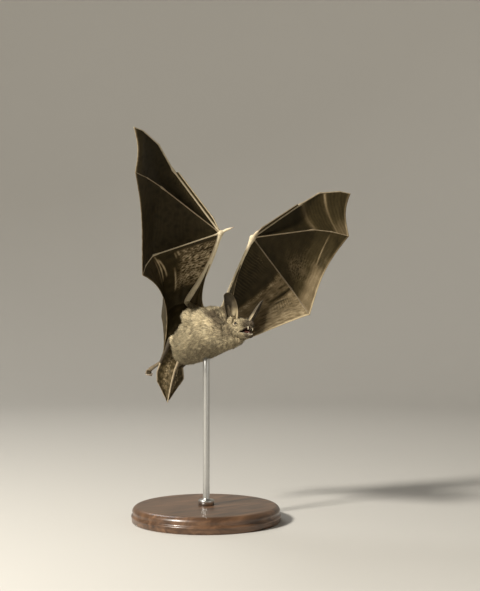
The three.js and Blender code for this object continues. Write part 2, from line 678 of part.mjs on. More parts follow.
const tailHalves = [];
for (const name of Object.keys(SIDES)) {
  const side = SIDES[name];
  const wing = wings[name];
  const leg = legs[name];
  const { digits } = wing;
  add(bat, `eye_${name}`, welded(eyeBall(side)), WET);
  add(bat, `ear_${name}`, cut(earSolid(name), fatHead), EAR_SKIN);

  const bone = {};
  for (const digit of Object.keys(FINGERS)) {
    bone[digit] = (grow) => limb(fingerStations(digit, digits[digit]), 5, grow);
  }
  const forearm = (grow) => limb(forearmStations(wing), 6, grow);
  const armpit = ARMPIT.map(([out, forward, up, radius]) => ({ point: at(out, forward, up, side), radius }));
  const upperArm = (grow) => (
    join(limb(stationsBetween(wing.shoulder, wing.elbow, UPPER_ARM_RADII), 7, grow), limb(armpit, 5, grow)));
  const hand = wristBall(wing, GAP);

  add(bat, `upper_arm_${name}`, cut(upperArm(), trunkSolid(GAP), forearm(GAP)), COAT);
  add(bat, `forearm_${name}`, join(forearm(), wristBall(wing)), BARE);
  add(bat, `thumb_${name}`, cut(limb(thumbStations(wing), 6), hand), BARE);
  const taken = [hand, forearm(GAP)]; // the room that is already filled, finger after finger
  for (const digit of ['finger_3', 'finger_5', 'finger_4', 'finger_2']) {
    add(bat, `${digit}_${name}`, cut(bone[digit](), ...taken), BARE);
    taken.push(bone[digit](GAP));
  }

  const armTools = [hand, forearm(GAP), upperArm(GAP), trunkSolid(GAP)];
  add(bat, `fore_membrane_${name}`, cut(foreMembrane(wing), ...armTools), MEMBRANE);
  add(bat, `membrane_2_3_${name}`, cut(leadMembrane(wing), hand, bone.finger_2(GAP), bone.finger_3(GAP)),
    MEMBRANE);
  add(bat, `membrane_3_4_${name}`, cut(panel(digits.finger_3, digits.finger_4, side, SCALLOP.fore),
    hand, bone.finger_3(GAP), bone.finger_4(GAP)), MEMBRANE);
  add(bat, `membrane_4_5_${name}`, cut(panel(digits.finger_4, digits.finger_5, side, SCALLOP.aft),
    hand, bone.finger_4(GAP), bone.finger_5(GAP)), MEMBRANE);

  const thigh = (grow) => limb(stationsBetween(leg.hip, leg.knee, THIGH_RADII), 8, grow);
  const shin = (grow) => limb(stationsBetween(leg.knee, leg.ankle, SHIN_RADII), 6, grow);
  const calcar = (grow) => limb(calcarStations(leg), 5, grow);
  add(bat, `flank_membrane_${name}`, cut(flankMembrane(name), ...armTools, bone.finger_5(GAP),
    thigh(GAP), shin(GAP)), MEMBRANE);
  add(bat, `thigh_${name}`, cut(thigh(), trunkSolid(GAP), shin(GAP)), COAT);
  add(bat, `shin_${name}`, cut(shin(), trunkSolid(GAP)), BARE);
  add(bat, `foot_${name}`, cut(footSolid(name), shin(GAP)), BARE);
  add(bat, `calcar_${name}`, cut(calcar(), shin(GAP), footSolid(name)), BARE);
  tailHalves.push(add(bat, `tail_membrane_${name}`, cut(tailMembrane(name), trunkSolid(GAP), thigh(GAP),
    shin(GAP), calcar(GAP), limb(tailStations(), 7, GAP), footSolid(name), ...tailHalves), MEMBRANE));
}
add(bat, 'tail', cut(limb(tailStations(), 7), trunkSolid(GAP)), BARE);

export default object;
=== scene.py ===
"""Dresses the flying mouse-eared bat: one skin, a coat of fur tufts, eyes, teeth, claws, tongue and stand.

Lengths are millimetres in the bat's own frame (x to its left, y backwards, z up from between its
shoulders) until a piece is made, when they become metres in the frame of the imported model.
"""
import json
from math import cos, pi, radians, sin, tan

import bpy
import numpy as np
from mathutils import Matrix, Vector
from mathutils.kdtree import KDTree

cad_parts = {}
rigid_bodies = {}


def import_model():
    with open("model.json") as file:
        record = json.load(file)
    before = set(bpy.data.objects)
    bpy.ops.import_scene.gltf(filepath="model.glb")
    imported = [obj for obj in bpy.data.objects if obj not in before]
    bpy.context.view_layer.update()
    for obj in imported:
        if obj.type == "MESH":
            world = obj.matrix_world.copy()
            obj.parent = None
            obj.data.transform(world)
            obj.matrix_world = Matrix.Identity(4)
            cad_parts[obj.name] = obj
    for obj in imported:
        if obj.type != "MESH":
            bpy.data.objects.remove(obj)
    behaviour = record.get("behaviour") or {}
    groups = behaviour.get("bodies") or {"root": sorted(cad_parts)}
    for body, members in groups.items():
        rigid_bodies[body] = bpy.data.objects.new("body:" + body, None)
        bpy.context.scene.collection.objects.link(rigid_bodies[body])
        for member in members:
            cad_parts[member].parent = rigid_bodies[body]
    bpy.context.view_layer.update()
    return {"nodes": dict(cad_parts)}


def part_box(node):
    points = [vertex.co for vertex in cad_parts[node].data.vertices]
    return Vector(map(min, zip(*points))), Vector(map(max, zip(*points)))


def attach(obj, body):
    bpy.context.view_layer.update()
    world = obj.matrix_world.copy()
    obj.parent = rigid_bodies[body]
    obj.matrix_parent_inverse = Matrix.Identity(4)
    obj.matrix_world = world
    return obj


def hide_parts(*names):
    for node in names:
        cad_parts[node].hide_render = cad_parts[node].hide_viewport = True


for leftover in list(bpy.data.objects):
    bpy.data.objects.remove(leftover, do_unlink=True)
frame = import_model()

# ---------------------------------------------------------------- driving dimensions
# The pose, the bones, the trunk, the neck, the head and the jaw are the solids' own. The bare limbs, toes and
# tail have finer radii here, and the left elbow, the armpits, the ears, the eyes and the tongue follow the
# photo more closely.

PITCH = 15  # degrees, nose up
ROLL = 14  # degrees, left side down
FLIGHT_HEIGHT = 142
ROD_STATION = -15  # the rod meets the belly this far behind the shoulders
FOREARM_BOW = 3
SHOULDER = (10, 0, 5)  # out, forward, up
HUMERUS = 36
FOREARM = 61
THUMB = (5.5, 6.5)
FINGERS = {  # lengths of the bones
    "finger_2": (12, 43),
    "finger_3": (59, 20.5, 18, 9),
    "finger_4": (57, 15, 14.5),
    "finger_5": (55, 13, 12),
}
SIDES = {"left": 1, "right": -1}
WING_POSE = {  # [sweep forwards, raise] of each bone in degrees
    "left": {
        "humerus": (-77, 44),
        "forearm": (90, 46),
        "thumb": [(99, 18), (99, 6)],
        "finger_2": [(10, 54), (2.5, 42)],
        "finger_3": [(1.5, 43), (11, 40), (19, 14), (18, -2)],
        "finger_4": [(5.5, 20.5), (19, 3), (22, -7)],
        "finger_5": [(-14, -29), (22, -52), (44, -55)],
    },
    "right": {
        "humerus": (-88, 39),
        "forearm": (88, 44),
        "thumb": [(119, 21), (119, 10)],
        "finger_2": [(9, 51), (1, 39.5)],
        "finger_3": [(0, 40.5), (11.5, 43), (17, 12), (15, -7)],
        "finger_4": [(-1, 22.5), (18.5, 3.5), (22, -6)],
        "finger_5": [(-20.5, -27), (22, -55), (46, -57)],
    },
}
KNUCKLES = {  # knuckle radii, then the first shaft and the tip
    "finger_2": ((0.9, 0.65), 0.48, 0.3),
    "finger_3": ((1.55, 1.15, 0.8, 0.5), 0.68, 0.26),
    "finger_4": ((1.25, 0.85, 0.6), 0.42, 0.24),
    "finger_5": ((1.3, 0.9, 0.6), 0.5, 0.24),
}
FINGER_TONE = {  # how pale the skin over each finger's bones is
    "left": {"finger_2": 0.5, "finger_3": 0.6, "finger_4": 0.5, "finger_5": 0.25},
    "right": {"finger_2": 0.75, "finger_3": 0.75, "finger_4": 0.5, "finger_5": 0.7},
}
ELBOW_OUT = {"left": 4.4, "right": 0}  # the left elbow stands further out than in the solids, as in the photo
ARM_GIRTH = {"left": 0.62, "right": 1.0}  # of the forearm short of the wrist
FOREARM_RADII = [  # share of the way to the wrist, radius
    (-0.03, 0.9), (-0.015, 2.1), (0, 2.6), (0.06, 3.1), (0.25, 2.6), (0.45, 2.1), (0.7, 1.7), (0.9, 1.6),
    (0.97, 2.1), (1, 2.3)]
THUMB_ROOT = [(0.25, 1.9), (0.45, 1.2)]  # where the thumb leaves the wrist
THUMB_RADII = [(0, 1.3), (0.6, 0.95), (1, 1.0)]
THUMB_END = [(0.4, 0.85), (0.62, 0.6)]
UPPER_ARM_RADII = [(0, 8), (0.35, 7.2), (0.6, 4.6), (0.8, 2.9), (1, 2.5)]
ARMPIT = [(13, -3, 7, 7), (15.5, -13, 10.5, 5.9), (16, -22, 14, 3.5)]  # out, forward, up, radius of its fur
TRUNK = [  # forward, centre up, half width, rise, drop: the coat's outline
    (-49.5, -6, 4, 4, 5), (-47.5, -5, 9, 8, 9.5), (-42, -3, 14, 13, 14.8), (-34, 0, 17.5, 16.5, 19.2),
    (-23, 2, 19.5, 19.5, 21.4), (-11, 2.5, 20, 20.2, 21.4), (0, 2, 18.5, 18.6, 20.4),
    (9, 0.5, 15.5, 16, 18.8)]
NECK = [  # share of the way from chest to nape, half width, rise, drop
    (0, 14.6, 15, 18.3), (0.5, 12.2, 12, 16.8), (1, 10, 9.2, 14.4)]
HEAD_AT = (3.5, 24.5, -1)  # left, forward, up
HEAD_TURN = (-3, 5, -2)  # yaw, pitch, roll
HEAD = [  # the braincase: forward, centre up, half width, rise, drop
    (-8.5, -0.6, 8.6, 7.8, 13.6), (-4, -0.3, 9.2, 8.6, 14.4), (0, -0.6, 8.8, 8.2, 13.6),
    (3.2, -1, 7.4, 7, 11.4), (6.2, -1.8, 5.9, 4.9, 8.2)]
MUZZLE = [  # the same
    (2, -1.8, 6.2, 5.6, 4.2), (5.95, -2.3, 5.8, 5, 4.2), (9, -2.9, 4.9, 4.2, 3.6), (12, -3.3, 4.2, 3, 3.1),
    (14.2, -3.6, 3.3, 2.4, 2.5), (15.3, -3.7, 2, 1.6, 1.6)]
JAW_HINGE = (4.2, -7.7, 27)  # forward, up, degrees open
JAW = [  # along the jaw, half width, rise, drop
    (0.4, 4.8, 1.3, 3), (3.5, 4.3, 1.2, 2.7), (7.2, 3.5, 1.1, 2.3), (10.2, 2.5, 1, 1.9), (11.5, 1.3, 0.7, 1)]
TONGUE = {"start": 2.4, "length": 6.2, "height": 0.9, "flat": 2.3, "over": 1.5}  # flat is width over height
EYE = (6, 4.3, -1.2)  # out, forward, up
EYE_RADIUS = 1.55
EAR = {
    "length": 20, "width": 6.8, "base": (7.4, 0.4, 4),
    "sink": 3,  # how deep its root goes into the head
    "set": 2,  # how far its back stands behind its axis
    "roll": (1.4, 0.65),  # radians that half its width curls through, at the root and at the tip
    "lean": {"left": (30, 25), "right": (33, 34)},  # degrees outwards and forwards
    "opening": {"left": 56, "right": 40},  # degrees that its mouth turns outwards from straight ahead
}
EAR_FOLD = 1.0  # how far the outer margin of an ear curls on, in radians
EAR_CURL = {"left": 0.2, "right": 1.5}  # how far an ear's tip bends back
EAR_SPREAD = {"left": 0.8, "right": 1.0}  # of an ear's width
EAR_BACK = {"left": 0.25, "right": 1.0}  # how far the back of an ear bellies out
TRAGUS = {"length": 10.5, "width": 1.5, "outward": 0.6, "ahead": 0.4}
LEGS = {  # out, forward, up
    "left": {
        "hip": (7, -36, -2), "knee": (15, -42, 1), "ankle": (9, -62, -11.5), "heel": (12.5, -64.5, -20),
        "calcar": (9, -64, -26), "toes": (12.5, -72.5, -8)},
    "right": {
        "hip": (7, -36, -2), "knee": (14.5, -42, 1), "ankle": (9.5, -63.5, -11.5), "heel": (11, -65.5, -19.5),
        "calcar": (10, -66, -26.5), "toes": (10.5, -77.5, -14.5)},
}
THIGH_RADII = [(0, 6.5), (0.5, 5), (1, 2.2)]
CALCAR_RADII = (0.9, 0.5, 0.3)  # of the heel's spur, from the ankle to its tip
SHIN_RADII = [(0, 2.4), (0.3, 2), (0.9, 1.2), (1, 1.3)]
SOLE_RADII = [(0, 1.2), (0.5, 1.4), (1, 1.75)]
TOE = [(-1.6, 0, 0.7), (1.9, 0.5, 0.6), (2.6, 3.4, 0.55), (-3.0, 4.6, 0.12)]  # ahead, down, radius
TOES = {"count": 5, "pitch": 0.62, "splay": 0.2}
TAIL = [(-45, -6), (-52.5, -10.5), (-57.8, -18), (-61.5, -28), (-65, -41.5)]  # forward, up
TAIL_RADII = [2.4, 1.2, 0.85, 0.7, 0.4]
TRAILING_PULL = {"left": 0.08, "right": 1}  # how far the flank membrane's free edge is drawn in
SCALLOP = {"fore": 0.035, "aft": 0.06}  # how far a hand membrane's free edge is drawn in, of its length
BILLOW = {"hand": 3.5, "flank": 4}  # how far a membrane swells between its bones

# ---------------------------------------------------------------- points and curves


def at(out, forward, up, side=1):
    return np.array([side * out, -forward, up], float)


def unit(v):
    return v / np.maximum(np.linalg.norm(v, axis=-1, keepdims=True), 1e-9)


def lerp(a, b, share):
    share = np.asarray(share, float)
    return a + (b - a) * (share[..., None] if share.ndim else share)


def step(value, low, high):
    """Rises smoothly from 0 at low to 1 at high"""
    t = np.clip((value - low) / (high - low), 0, 1)
    return t * t * (3 - 2 * t)


def bump(value, centre, width):
    """1 at the centre, falling to nothing on both sides of it"""
    return np.exp(-(((value - centre) / width) ** 2))


def spot(points, place, distance, width):
    """1 at a distance from a place, falling to nothing on both sides of it"""
    return bump(np.linalg.norm(points - np.asarray(place), axis=-1), distance, width)


def unit_grid(rows, columns):
    """Shares from 0 to 1 down the rows and over the columns of a grid"""
    return np.meshgrid(np.linspace(0, 1, rows), np.linspace(0, 1, columns), indexing="ij")


def turn(axis, degrees):
    return np.array(Matrix.Rotation(radians(degrees), 3, axis))


def heading(pair, side):
    """The direction of a bone from its sweep and raise"""
    sweep, raised = radians(pair[0]), radians(pair[1])
    return at(cos(sweep) * cos(raised), sin(sweep) * cos(raised), sin(raised), side)


def chain(start, lengths, headings, side):
    joints = [start]
    for length, pair in zip(lengths, headings):
        joints.append(joints[-1] + heading(pair, side) * length)
    return np.array(joints)


def along(joints, share):
    """The point a share of the way along a chain of joints"""
    joints = np.asarray(joints, float)
    reach = np.concatenate([[0], np.cumsum(np.linalg.norm(np.diff(joints, axis=0), axis=1))])
    distance = np.asarray(share) * reach[-1]
    return np.stack([np.interp(distance, reach, joints[:, k]) for k in range(3)], -1)


def bezier(points, share):
    a, b, c, d = points
    t = np.asarray(share, float)[..., None]
    return a * (1 - t) ** 3 + 3 * b * t * (1 - t) ** 2 + 3 * c * t * t * (1 - t) + d * t ** 3


def eased(table, spacing=0.25, reach=3.0):
    """A table of stations, drawn out finely and smoothed over a reach along its first column"""
    table = np.array(table, float)
    station = np.arange(table[0, 0], table[-1, 0] + spacing, spacing)
    half = max(int(reach / spacing / 2), 1)
    window = np.hanning(2 * half + 3)[1:-1]
    window /= window.sum()
    columns = [station]
    for column in table.T[1:]:
        fine = np.interp(station, table[:, 0], column)
        start = fine[0] + (fine[0] - fine[1:half + 1])[::-1]
        end = fine[-1] + (fine[-1] - fine[-half - 1:-1])[::-1]
        columns.append(np.convolve(np.concatenate([start, fine, end]), window, "valid"))
    return np.stack(columns, 1)


def waves(points, size, seed, count=9):
    """Smooth noise of about -1 to 1 with features of a size, as a sum of plane waves"""
    draw = np.random.default_rng(seed)
    total = 0
    for _ in range(count):
        direction = unit(draw.normal(size=points.shape[-1]))
        pitch = 2 * pi / size / draw.uniform(0.8, 1.6)
        total = total + np.sin(points @ direction * pitch + draw.uniform(0, 6.3))
    return total / count ** 0.5 * 0.9


flight = turn("X", -PITCH) @ turn("Y", ROLL)
over_base = flight @ at(0, ROD_STATION, 0)
lifted = np.array([-over_base[0], -over_base[1], FLIGHT_HEIGHT])


def to_frame(points):
    """From the bat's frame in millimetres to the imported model's in metres"""
    return (points @ flight.T + lifted) / 1000


head_turn = turn("Z", HEAD_TURN[0]) @ turn("X", -HEAD_TURN[1]) @ turn("Y", HEAD_TURN[2])
head_origin = at(*HEAD_AT)


def in_head(out, forward, up, side=1):
    return head_turn @ at(out, forward, up, side) + head_origin


def from_head(points):
    """Head coordinates (x to its left, y backwards, z up) to the bat's frame"""
    return points @ head_turn.T + head_origin


def into_head(points):
    return (points - head_origin) @ head_turn


jaw_open = radians(JAW_HINGE[2])


def in_jaw(out, forward, up, side=1):
    reach = JAW_HINGE[0] + forward * cos(jaw_open) + up * sin(jaw_open)
    return in_head(out, reach, JAW_HINGE[1] - forward * sin(jaw_open) + up * cos(jaw_open), side)


wings = {}
legs = {}
for name, side in SIDES.items():
    pose = WING_POSE[name]
    shoulder = at(*SHOULDER, side)
    elbow = chain(shoulder, [HUMERUS], [pose["humerus"]], side)[1]
    wrist = chain(elbow, [FOREARM], [pose["forearm"]], side)[1]
    elbow = elbow + at(ELBOW_OUT[name], 0, 0, side)
    wings[name] = {
        "side": side, "shoulder": shoulder, "elbow": elbow, "wrist": wrist,
        "thumb": chain(wrist, THUMB, pose["thumb"], side),
        "digits": {digit: chain(wrist, FINGERS[digit], pose[digit], side) for digit in FINGERS},
    }
    legs[name] = {joint: at(*place, side) for joint, place in LEGS[name].items()}
tail_points = np.array([at(0, forward, up) for forward, up in TAIL])


def forearm_point(wing, share):
    bow = unit(at(-1, 1, 0, wing["side"])) * FOREARM_BOW
    share = np.asarray(share, float)
    return lerp(wing["elbow"], wing["wrist"], share) + bow * np.sin(pi * share)[..., None]


# ---------------------------------------------------------------- parts of a mesh


class Part:
    """Points, faces and values on the points, all of one material slot"""

    def __init__(self, points, faces, slot=0, **values):
        self.points = np.asarray(points, float)
        self.faces = [np.asarray(f, int) for f in (faces if isinstance(faces, list) else [faces])]
        self.slot = slot
        self.values = values


def make_object(name, parts, materials, values=(), uv=None, place=to_frame):
    """One mesh object from several parts; uv gives a pair for every corner of every face"""
    counts = np.cumsum([0] + [len(p.points) for p in parts])
    points = place(np.concatenate([p.points for p in parts]))
    corners, sizes, slots = [], [], []
    for part, start in zip(parts, counts):
        for faces in part.faces:
            corners.append((faces + start).ravel())
            sizes.append(np.full(len(faces), faces.shape[1]))
            slots.append(np.full(len(faces), part.slot))
    corners, sizes, slots = (np.concatenate(x) for x in (corners, sizes, slots))
    mesh = bpy.data.meshes.new(name)
    mesh.vertices.add(len(points))
    mesh.vertices.foreach_set("co", points.astype(np.float32).ravel())
    mesh.loops.add(len(corners))
    mesh.loops.foreach_set("vertex_index", corners.astype(np.int32))
    mesh.polygons.add(len(sizes))
    mesh.polygons.foreach_set("loop_start", np.concatenate([[0], np.cumsum(sizes)[:-1]]).astype(np.int32))
    mesh.polygons.foreach_set("material_index", slots.astype(np.int32))
    for value in values:
        layer = mesh.attributes.new(value, "FLOAT", "POINT")
        column = [np.broadcast_to(p.values.get(value, 0.0), len(p.points)) for p in parts]
        layer.data.foreach_set("value", np.concatenate(column).astype(np.float32))
    if uv is not None:
        layer = mesh.uv_layers.new(name="OFBake")
        layer.uv.foreach_set("vector", uv.astype(np.float32).ravel())
    mesh.update(calc_edges=True)
    mesh.validate()
    mesh.shade_smooth()
    for material in materials:
        mesh.materials.append(material)
    piece = bpy.data.objects.new(name, mesh)
    bpy.context.scene.collection.objects.link(piece)
    return piece


def grid_faces(rows, columns, closed=False, start=0):
    """Quads of a grid of points; closed joins its last column to its first"""
    i, j = np.meshgrid(np.arange(rows - 1), np.arange(columns if closed else columns - 1), indexing="ij")
    k = (j + 1) % columns
    quads = np.stack([i * columns + j, i * columns + k, (i + 1) * columns + k, (i + 1) * columns + j], -1)
    return quads.reshape(-1, 4) + start


def end_caps(rings, sides, first, last):
    """Triangles that close both ends of a stack of rings at its two end points"""
    around = np.arange(sides)
    following = (around + 1) % sides
    low = (rings - 1) * sides
    return np.concatenate([
        np.stack([following, around, np.full(sides, first)], 1),
        np.stack([low + around, low + following, np.full(sides, last)], 1)])


def tube(path, radii, sides=10, slot=1, flat=1.0, up=(0.31, 0.47, 0.83), **values):
    """A round limb along a path, closed at both ends; flat widens it across the up direction"""
    path = np.asarray(path, float)
    radii = np.broadcast_to(radii, len(path))
    tangent = unit(np.gradient(path, axis=0))
    across = np.asarray(up, float)
    frames = []
    for direction in tangent:
        across = unit(across - direction * (across @ direction))
        frames.append((across, np.cross(direction, across)))
    a = np.array([f[0] for f in frames])[:, None]
    b = np.array([f[1] for f in frames])[:, None]
    angle = (np.arange(sides) / sides * 2 * pi)[None, :, None]
    rings = path[:, None] + radii[:, None, None] * (np.cos(angle) * a * flat + np.sin(angle) * b)
    ends = np.stack([path[0] - tangent[0] * radii[0] * 0.5, path[-1] + tangent[-1] * radii[-1] * 0.5])
    points = np.concatenate([rings.reshape(-1, 3), ends])
    caps = end_caps(len(path), sides, len(points) - 2, len(points) - 1)
    spread = {}
    for key, value in values.items():
        value = np.broadcast_to(value, len(path))
        spread[key] = np.concatenate([np.repeat(value, sides), value[[0, -1]]])
    return Part(points, [grid_faces(len(path), sides, closed=True), caps], slot, **spread)


def shell(middle, thickness, slot=0, **values):
    """A closed sheet about a grid of points; thickness may vary over the grid"""
    rows, columns = middle.shape[:2]
    down = np.gradient(middle, axis=0)
    over = np.gradient(middle, axis=1)
    normal = unit(np.cross(down, over))
    offset = normal * np.broadcast_to(thickness, (rows, columns))[..., None] / 2
    points = np.concatenate([(middle + offset).reshape(-1, 3), (middle - offset).reshape(-1, 3)])
    count = rows * columns
    front = grid_faces(rows, columns)[:, ::-1]
    back = grid_faces(rows, columns, start=count)
    index = np.arange(count).reshape(rows, columns)
    ring = np.concatenate([index[0, :], index[1:, -1], index[-1, -2::-1], index[-2:0:-1, 0]])
    following = np.roll(ring, -1)
    rim = np.stack([ring, following, following + count, ring + count], 1)
    spread = {key: np.tile(np.broadcast_to(v, (rows, columns)).ravel(), 2) for key, v in values.items()}
    return Part(points, np.concatenate([front[:, ::-1], back[:, ::-1], rim[:, ::-1]]), slot, **spread)


# ---------------------------------------------------------------- distances, and surfaces through them


def blend_union(a, b, reach):
    """The union of two bodies, rounded where they meet"""
    h = np.clip(0.5 + 0.5 * (b - a) / reach, 0, 1)
    return b + (a - b) * h - reach * h * (1 - h)


def blend_cut(body, tool, reach):
    """A body without a tool's, rounded along the cut"""
    return -blend_union(-body, tool, reach)


def loft_distance(points, table):
    """Distance outside a loft of ovals along -y, to first order: rows of
    [forward, centre up, half width, rise, drop], or with a centre to the left as the last column"""
    x, forward, z = points[..., 0], -points[..., 1], points[..., 2]
    first, last = table[0, 0], table[-1, 0]

    def level(station):
        held = np.clip(station, first, last)
        centre, width, rise, drop = (np.interp(held, table[:, 0], table[:, k]) for k in range(1, 5))
        aside = np.interp(held, table[:, 0], table[:, 5]) if table.shape[1] > 5 else 0
        u, v = x - aside, z - centre
        height = np.where(v > 0, rise, drop)
        past = (station - held) / (0.55 * width)
        value = np.sqrt((u / width) ** 2 + (v / height) ** 2 + past ** 2 + 1e-8)
        return value, (u / width ** 2) ** 2 + (v / height ** 2) ** 2

    value, across = level(forward)
    ahead = (level(forward + 0.2)[0] - level(forward - 0.2)[0]) / 0.4
    slope = np.sqrt(across / value ** 2 + ahead ** 2)
    return (value - 1) / np.maximum(slope, 0.02)


def limb_distance(points, start, end, radii=((0, 0), (1, 0))):
    """Distance outside a straight tapering limb, or from a line, and the share of the way along it"""
    axis = end - start
    share = np.clip(((points - start) @ axis) / (axis @ axis), 0, 1)
    away = np.linalg.norm(points - (start + share[..., None] * axis), axis=-1)
    radii = np.array(radii)
    return away - np.interp(share, radii[:, 0], radii[:, 1]), share


def ball_distance(points, centre, size):
    """Distance outside an ellipsoid, to first order"""
    offset = points - np.asarray(centre, float)
    size = np.asarray(size, float)
    level = np.linalg.norm(offset / size, axis=-1)
    slope = np.linalg.norm(offset / size ** 2, axis=-1) / np.maximum(level, 1e-6)
    return (level - 1) / np.maximum(slope, 1e-6)


def surface_net(distance, low, high, spacing):
    """Points and quads of the surface where a function of points is zero, inside a box"""
    axes = [np.arange(a, b, spacing) for a, b in zip(low, high)]
    grid = np.stack(np.meshgrid(*axes, indexing="ij"), -1)
    field = distance(grid)
    shape = np.array(field.shape)
    cells = shape - 1
    total = np.zeros((cells.prod(), 3))
    count = np.zeros(cells.prod())
    crossings = []
    strides = np.array([cells[1] * cells[2], cells[2], 1])
    for axis in range(3):
        here = [slice(None)] * 3
        there = [slice(None)] * 3
        here[axis], there[axis] = slice(0, -1), slice(1, None)
        a, b = field[tuple(here)], field[tuple(there)]
        found = np.argwhere((a < 0) != (b < 0))
        others = [k for k in range(3) if k != axis]
        inner = np.all((found[:, others] > 0) & (found[:, others] < cells[others]), axis=1)
        found = found[inner]
        value_a = a[tuple(found.T)]
        value_b = b[tuple(found.T)]
        place = found.astype(float)
        place[:, axis] += value_a / (value_a - value_b)
        near = []
        for p, q in ((0, 0), (-1, 0), (-1, -1), (0, -1)):
            cell = found.copy()
            cell[:, others[0]] += p
            cell[:, others[1]] += q
            cell = cell @ strides
            near.append(cell)
            for k in range(3):
                total[:, k] += np.bincount(cell, place[:, k], len(total))
            count += np.bincount(cell, minlength=len(count))
        near = np.stack(near, 1)
        flip = (value_a < 0) != (axis == 1)
        near[~flip] = near[~flip][:, ::-1]
        crossings.append(near)
    used = count > 0
    number = np.cumsum(used) - 1
    points = total[used] / count[used, None] * spacing + np.array([axis[0] for axis in axes])
    return points, number[np.concatenate(crossings)]


def gradient(distance, points, size=0.15):
    """The directions in which a distance grows"""
    columns = []
    for k in range(3):
        offset = np.zeros(3)
        offset[k] = size
        columns.append(distance(points + offset) - distance(points - offset))
    return unit(np.stack(columns, -1))


# ---------------------------------------------------------------- body and head, as distances

NECK_END = (3, 0.6, 8.4, 7.6, 12.5)  # behind the head's middle, below it, half width, rise, drop
COAT_DEPTH = [(-50, 3.6), (-42, 4.6), (-30, 5), (0, 5), (9, 4.6), (16, 3.2), (22, 2.4)]  # forward, depth
BELLY_DEPTH = 1.4  # the coat is this much deeper below
ARM_DEPTH = [(0, 4.6), (0.35, 3.6), (0.6, 1.7), (0.8, 0.6), (1, 0.2)]
ARMPIT_DEPTH = [(0, 4.4), (0.5, 3.6), (1, 2.2)]
THIGH_DEPTH = [(0, 3.4), (0.5, 2.4), (1, 0.4)]

nape = in_head(0, HEAD[0][0] - 0.35, HEAD[0][1])
chest = at(0, TRUNK[-1][0] + 0.35, TRUNK[-1][1])
sections = [(chest + (nape - chest) * share, sizes) for share, *sizes in NECK]
sections.append((in_head(0, -NECK_END[0], -NECK_END[1]), NECK_END[2:]))
neck_rows = [(-centre[1], centre[2], *sizes, centre[0]) for centre, sizes in sections]
body_table = eased(np.concatenate([np.pad(np.array(TRUNK, float), ((0, 0), (0, 1))), neck_rows]), reach=5)
skull_table = eased(HEAD, reach=4)
muzzle_table = eased(MUZZLE, reach=2.5)


def looked_up(value, table):
    table = np.array(table)
    return np.interp(value, table[:, 0], table[:, 1])


def limb_skin(radii, depth):
    return [(share, radius - looked_up(share, depth)) for share, radius in radii]


def body_distance(points, coat=False):
    """Outside the skin of trunk, neck, upper arms and thighs, or outside the coat over them"""
    inset = looked_up(-points[..., 1], COAT_DEPTH) + BELLY_DEPTH * step(-points[..., 2], 2, 14)
    total = loft_distance(points, body_table) + (0 if coat else inset)
    for name, side in SIDES.items():
        wing, leg = wings[name], legs[name]
        armpit = [at(*place[:3], side) for place in ARMPIT]
        fur = [(0, place[3] - (0 if coat else depth)) for place, (_, depth) in zip(ARMPIT, ARMPIT_DEPTH)]
        limbs = [(armpit[k], armpit[k + 1], [fur[k], (1, fur[k + 1][1])], 6) for k in (0, 1)]
        arm, thigh = UPPER_ARM_RADII, THIGH_RADII
        if not coat:
            arm, thigh = limb_skin(arm, ARM_DEPTH), limb_skin(thigh, THIGH_DEPTH)
        limbs += [(wing["shoulder"], wing["elbow"], arm, 3), (leg["hip"], leg["knee"], thigh, 3)]
        for start, end, radii, reach in limbs:
            total = blend_union(total, limb_distance(points, start, end, radii)[0], reach)
    return total


HEAD_DEPTH = [  # forward, depth of the coat
    (-9, 2.6), (-4, 2.1), (1, 1.7), (4, 1.2), (6.5, 0.7), (9, 0.35), (15, 0.15)]
THROAT_DEPTH = [(-9, 2.4), (-1, 2.4), (3, 1.6), (6.5, 0.5), (8, 0)]  # added to it below
MOUTH = [  # forward, centre up, half width, rise, drop of the hollow between the jaws
    (3.5, -7.4, 2.4, 0.9, 0.8), (6, -7.6, 3.7, 1.8, 1.2), (9, -7.9, 3.3, 2.2, 1.6), (12, -8.3, 2.6, 2.5, 2.2),
    (14.6, -8.4, 1.7, 2.5, 2.6)]
JAW_FLOOR = [  # the same between the teeth of the lower jaw, along it
    (0.5, 1.4, 3.6, 1.2, 1.2), (3.5, 1.3, 3.4, 1.5, 1.2), (7.2, 1.3, 2.6, 1.6, 1), (10.4, 1.2, 1.5, 1.6, 0.6)]
LIP = [  # the rounded rim of the upper lip: forward, up, half width, rise, drop, left
    (5.6, -6.5, 0.5, 0.6, 0.6, 4.4), (9, -6.3, 0.5, 0.65, 0.55, 3.7), (12, -6.1, 0.45, 0.6, 0.5, 2.8),
    (14, -5.8, 0.4, 0.5, 0.45, 1.8), (14.8, -5.6, 0.4, 0.45, 0.4, 0.9)]
FACE_FORMS = [  # centre (left, backwards, up), size, roundness where it meets the head, paired, hollow
    ((4.0, -1.8, -5.2), (2.4, 3.6, 3.4), 1.8, True, False),  # cheek
    ((3.1, -9.4, -2.3), (1.6, 2.9, 1.8), 1.2, True, False),  # gland of the muzzle
    ((3.9, -3.2, 1.0), (1.5, 2.4, 1.2), 1.8, True, False),  # brow
    ((6.4, 0.1, 3.0), (1.9, 2.2, 1.9), 1.8, True, False),  # mound under the ear
    ((0, -9.5, 1.4), (0.9, 3.2, 0.5), 1.0, False, True),  # bridge of the nose
    ((0, -15.2, -2.9), (1.5, 1.0, 1.2), 0.5, False, False),  # nose pad
    ((0.95, -15.9, -2.9), (0.42, 0.6, 0.36), 0.25, True, True),  # nostril
    ((0, -16.4, -3.7), (0.16, 0.7, 0.9), 0.2, False, True),  # groove between the nostrils
]
EYE_PLACE = np.array([EYE[0], -EYE[1], EYE[2]], float)
EYE_OUTWARD = unit(np.array([0.86, -0.42, 0.12]))
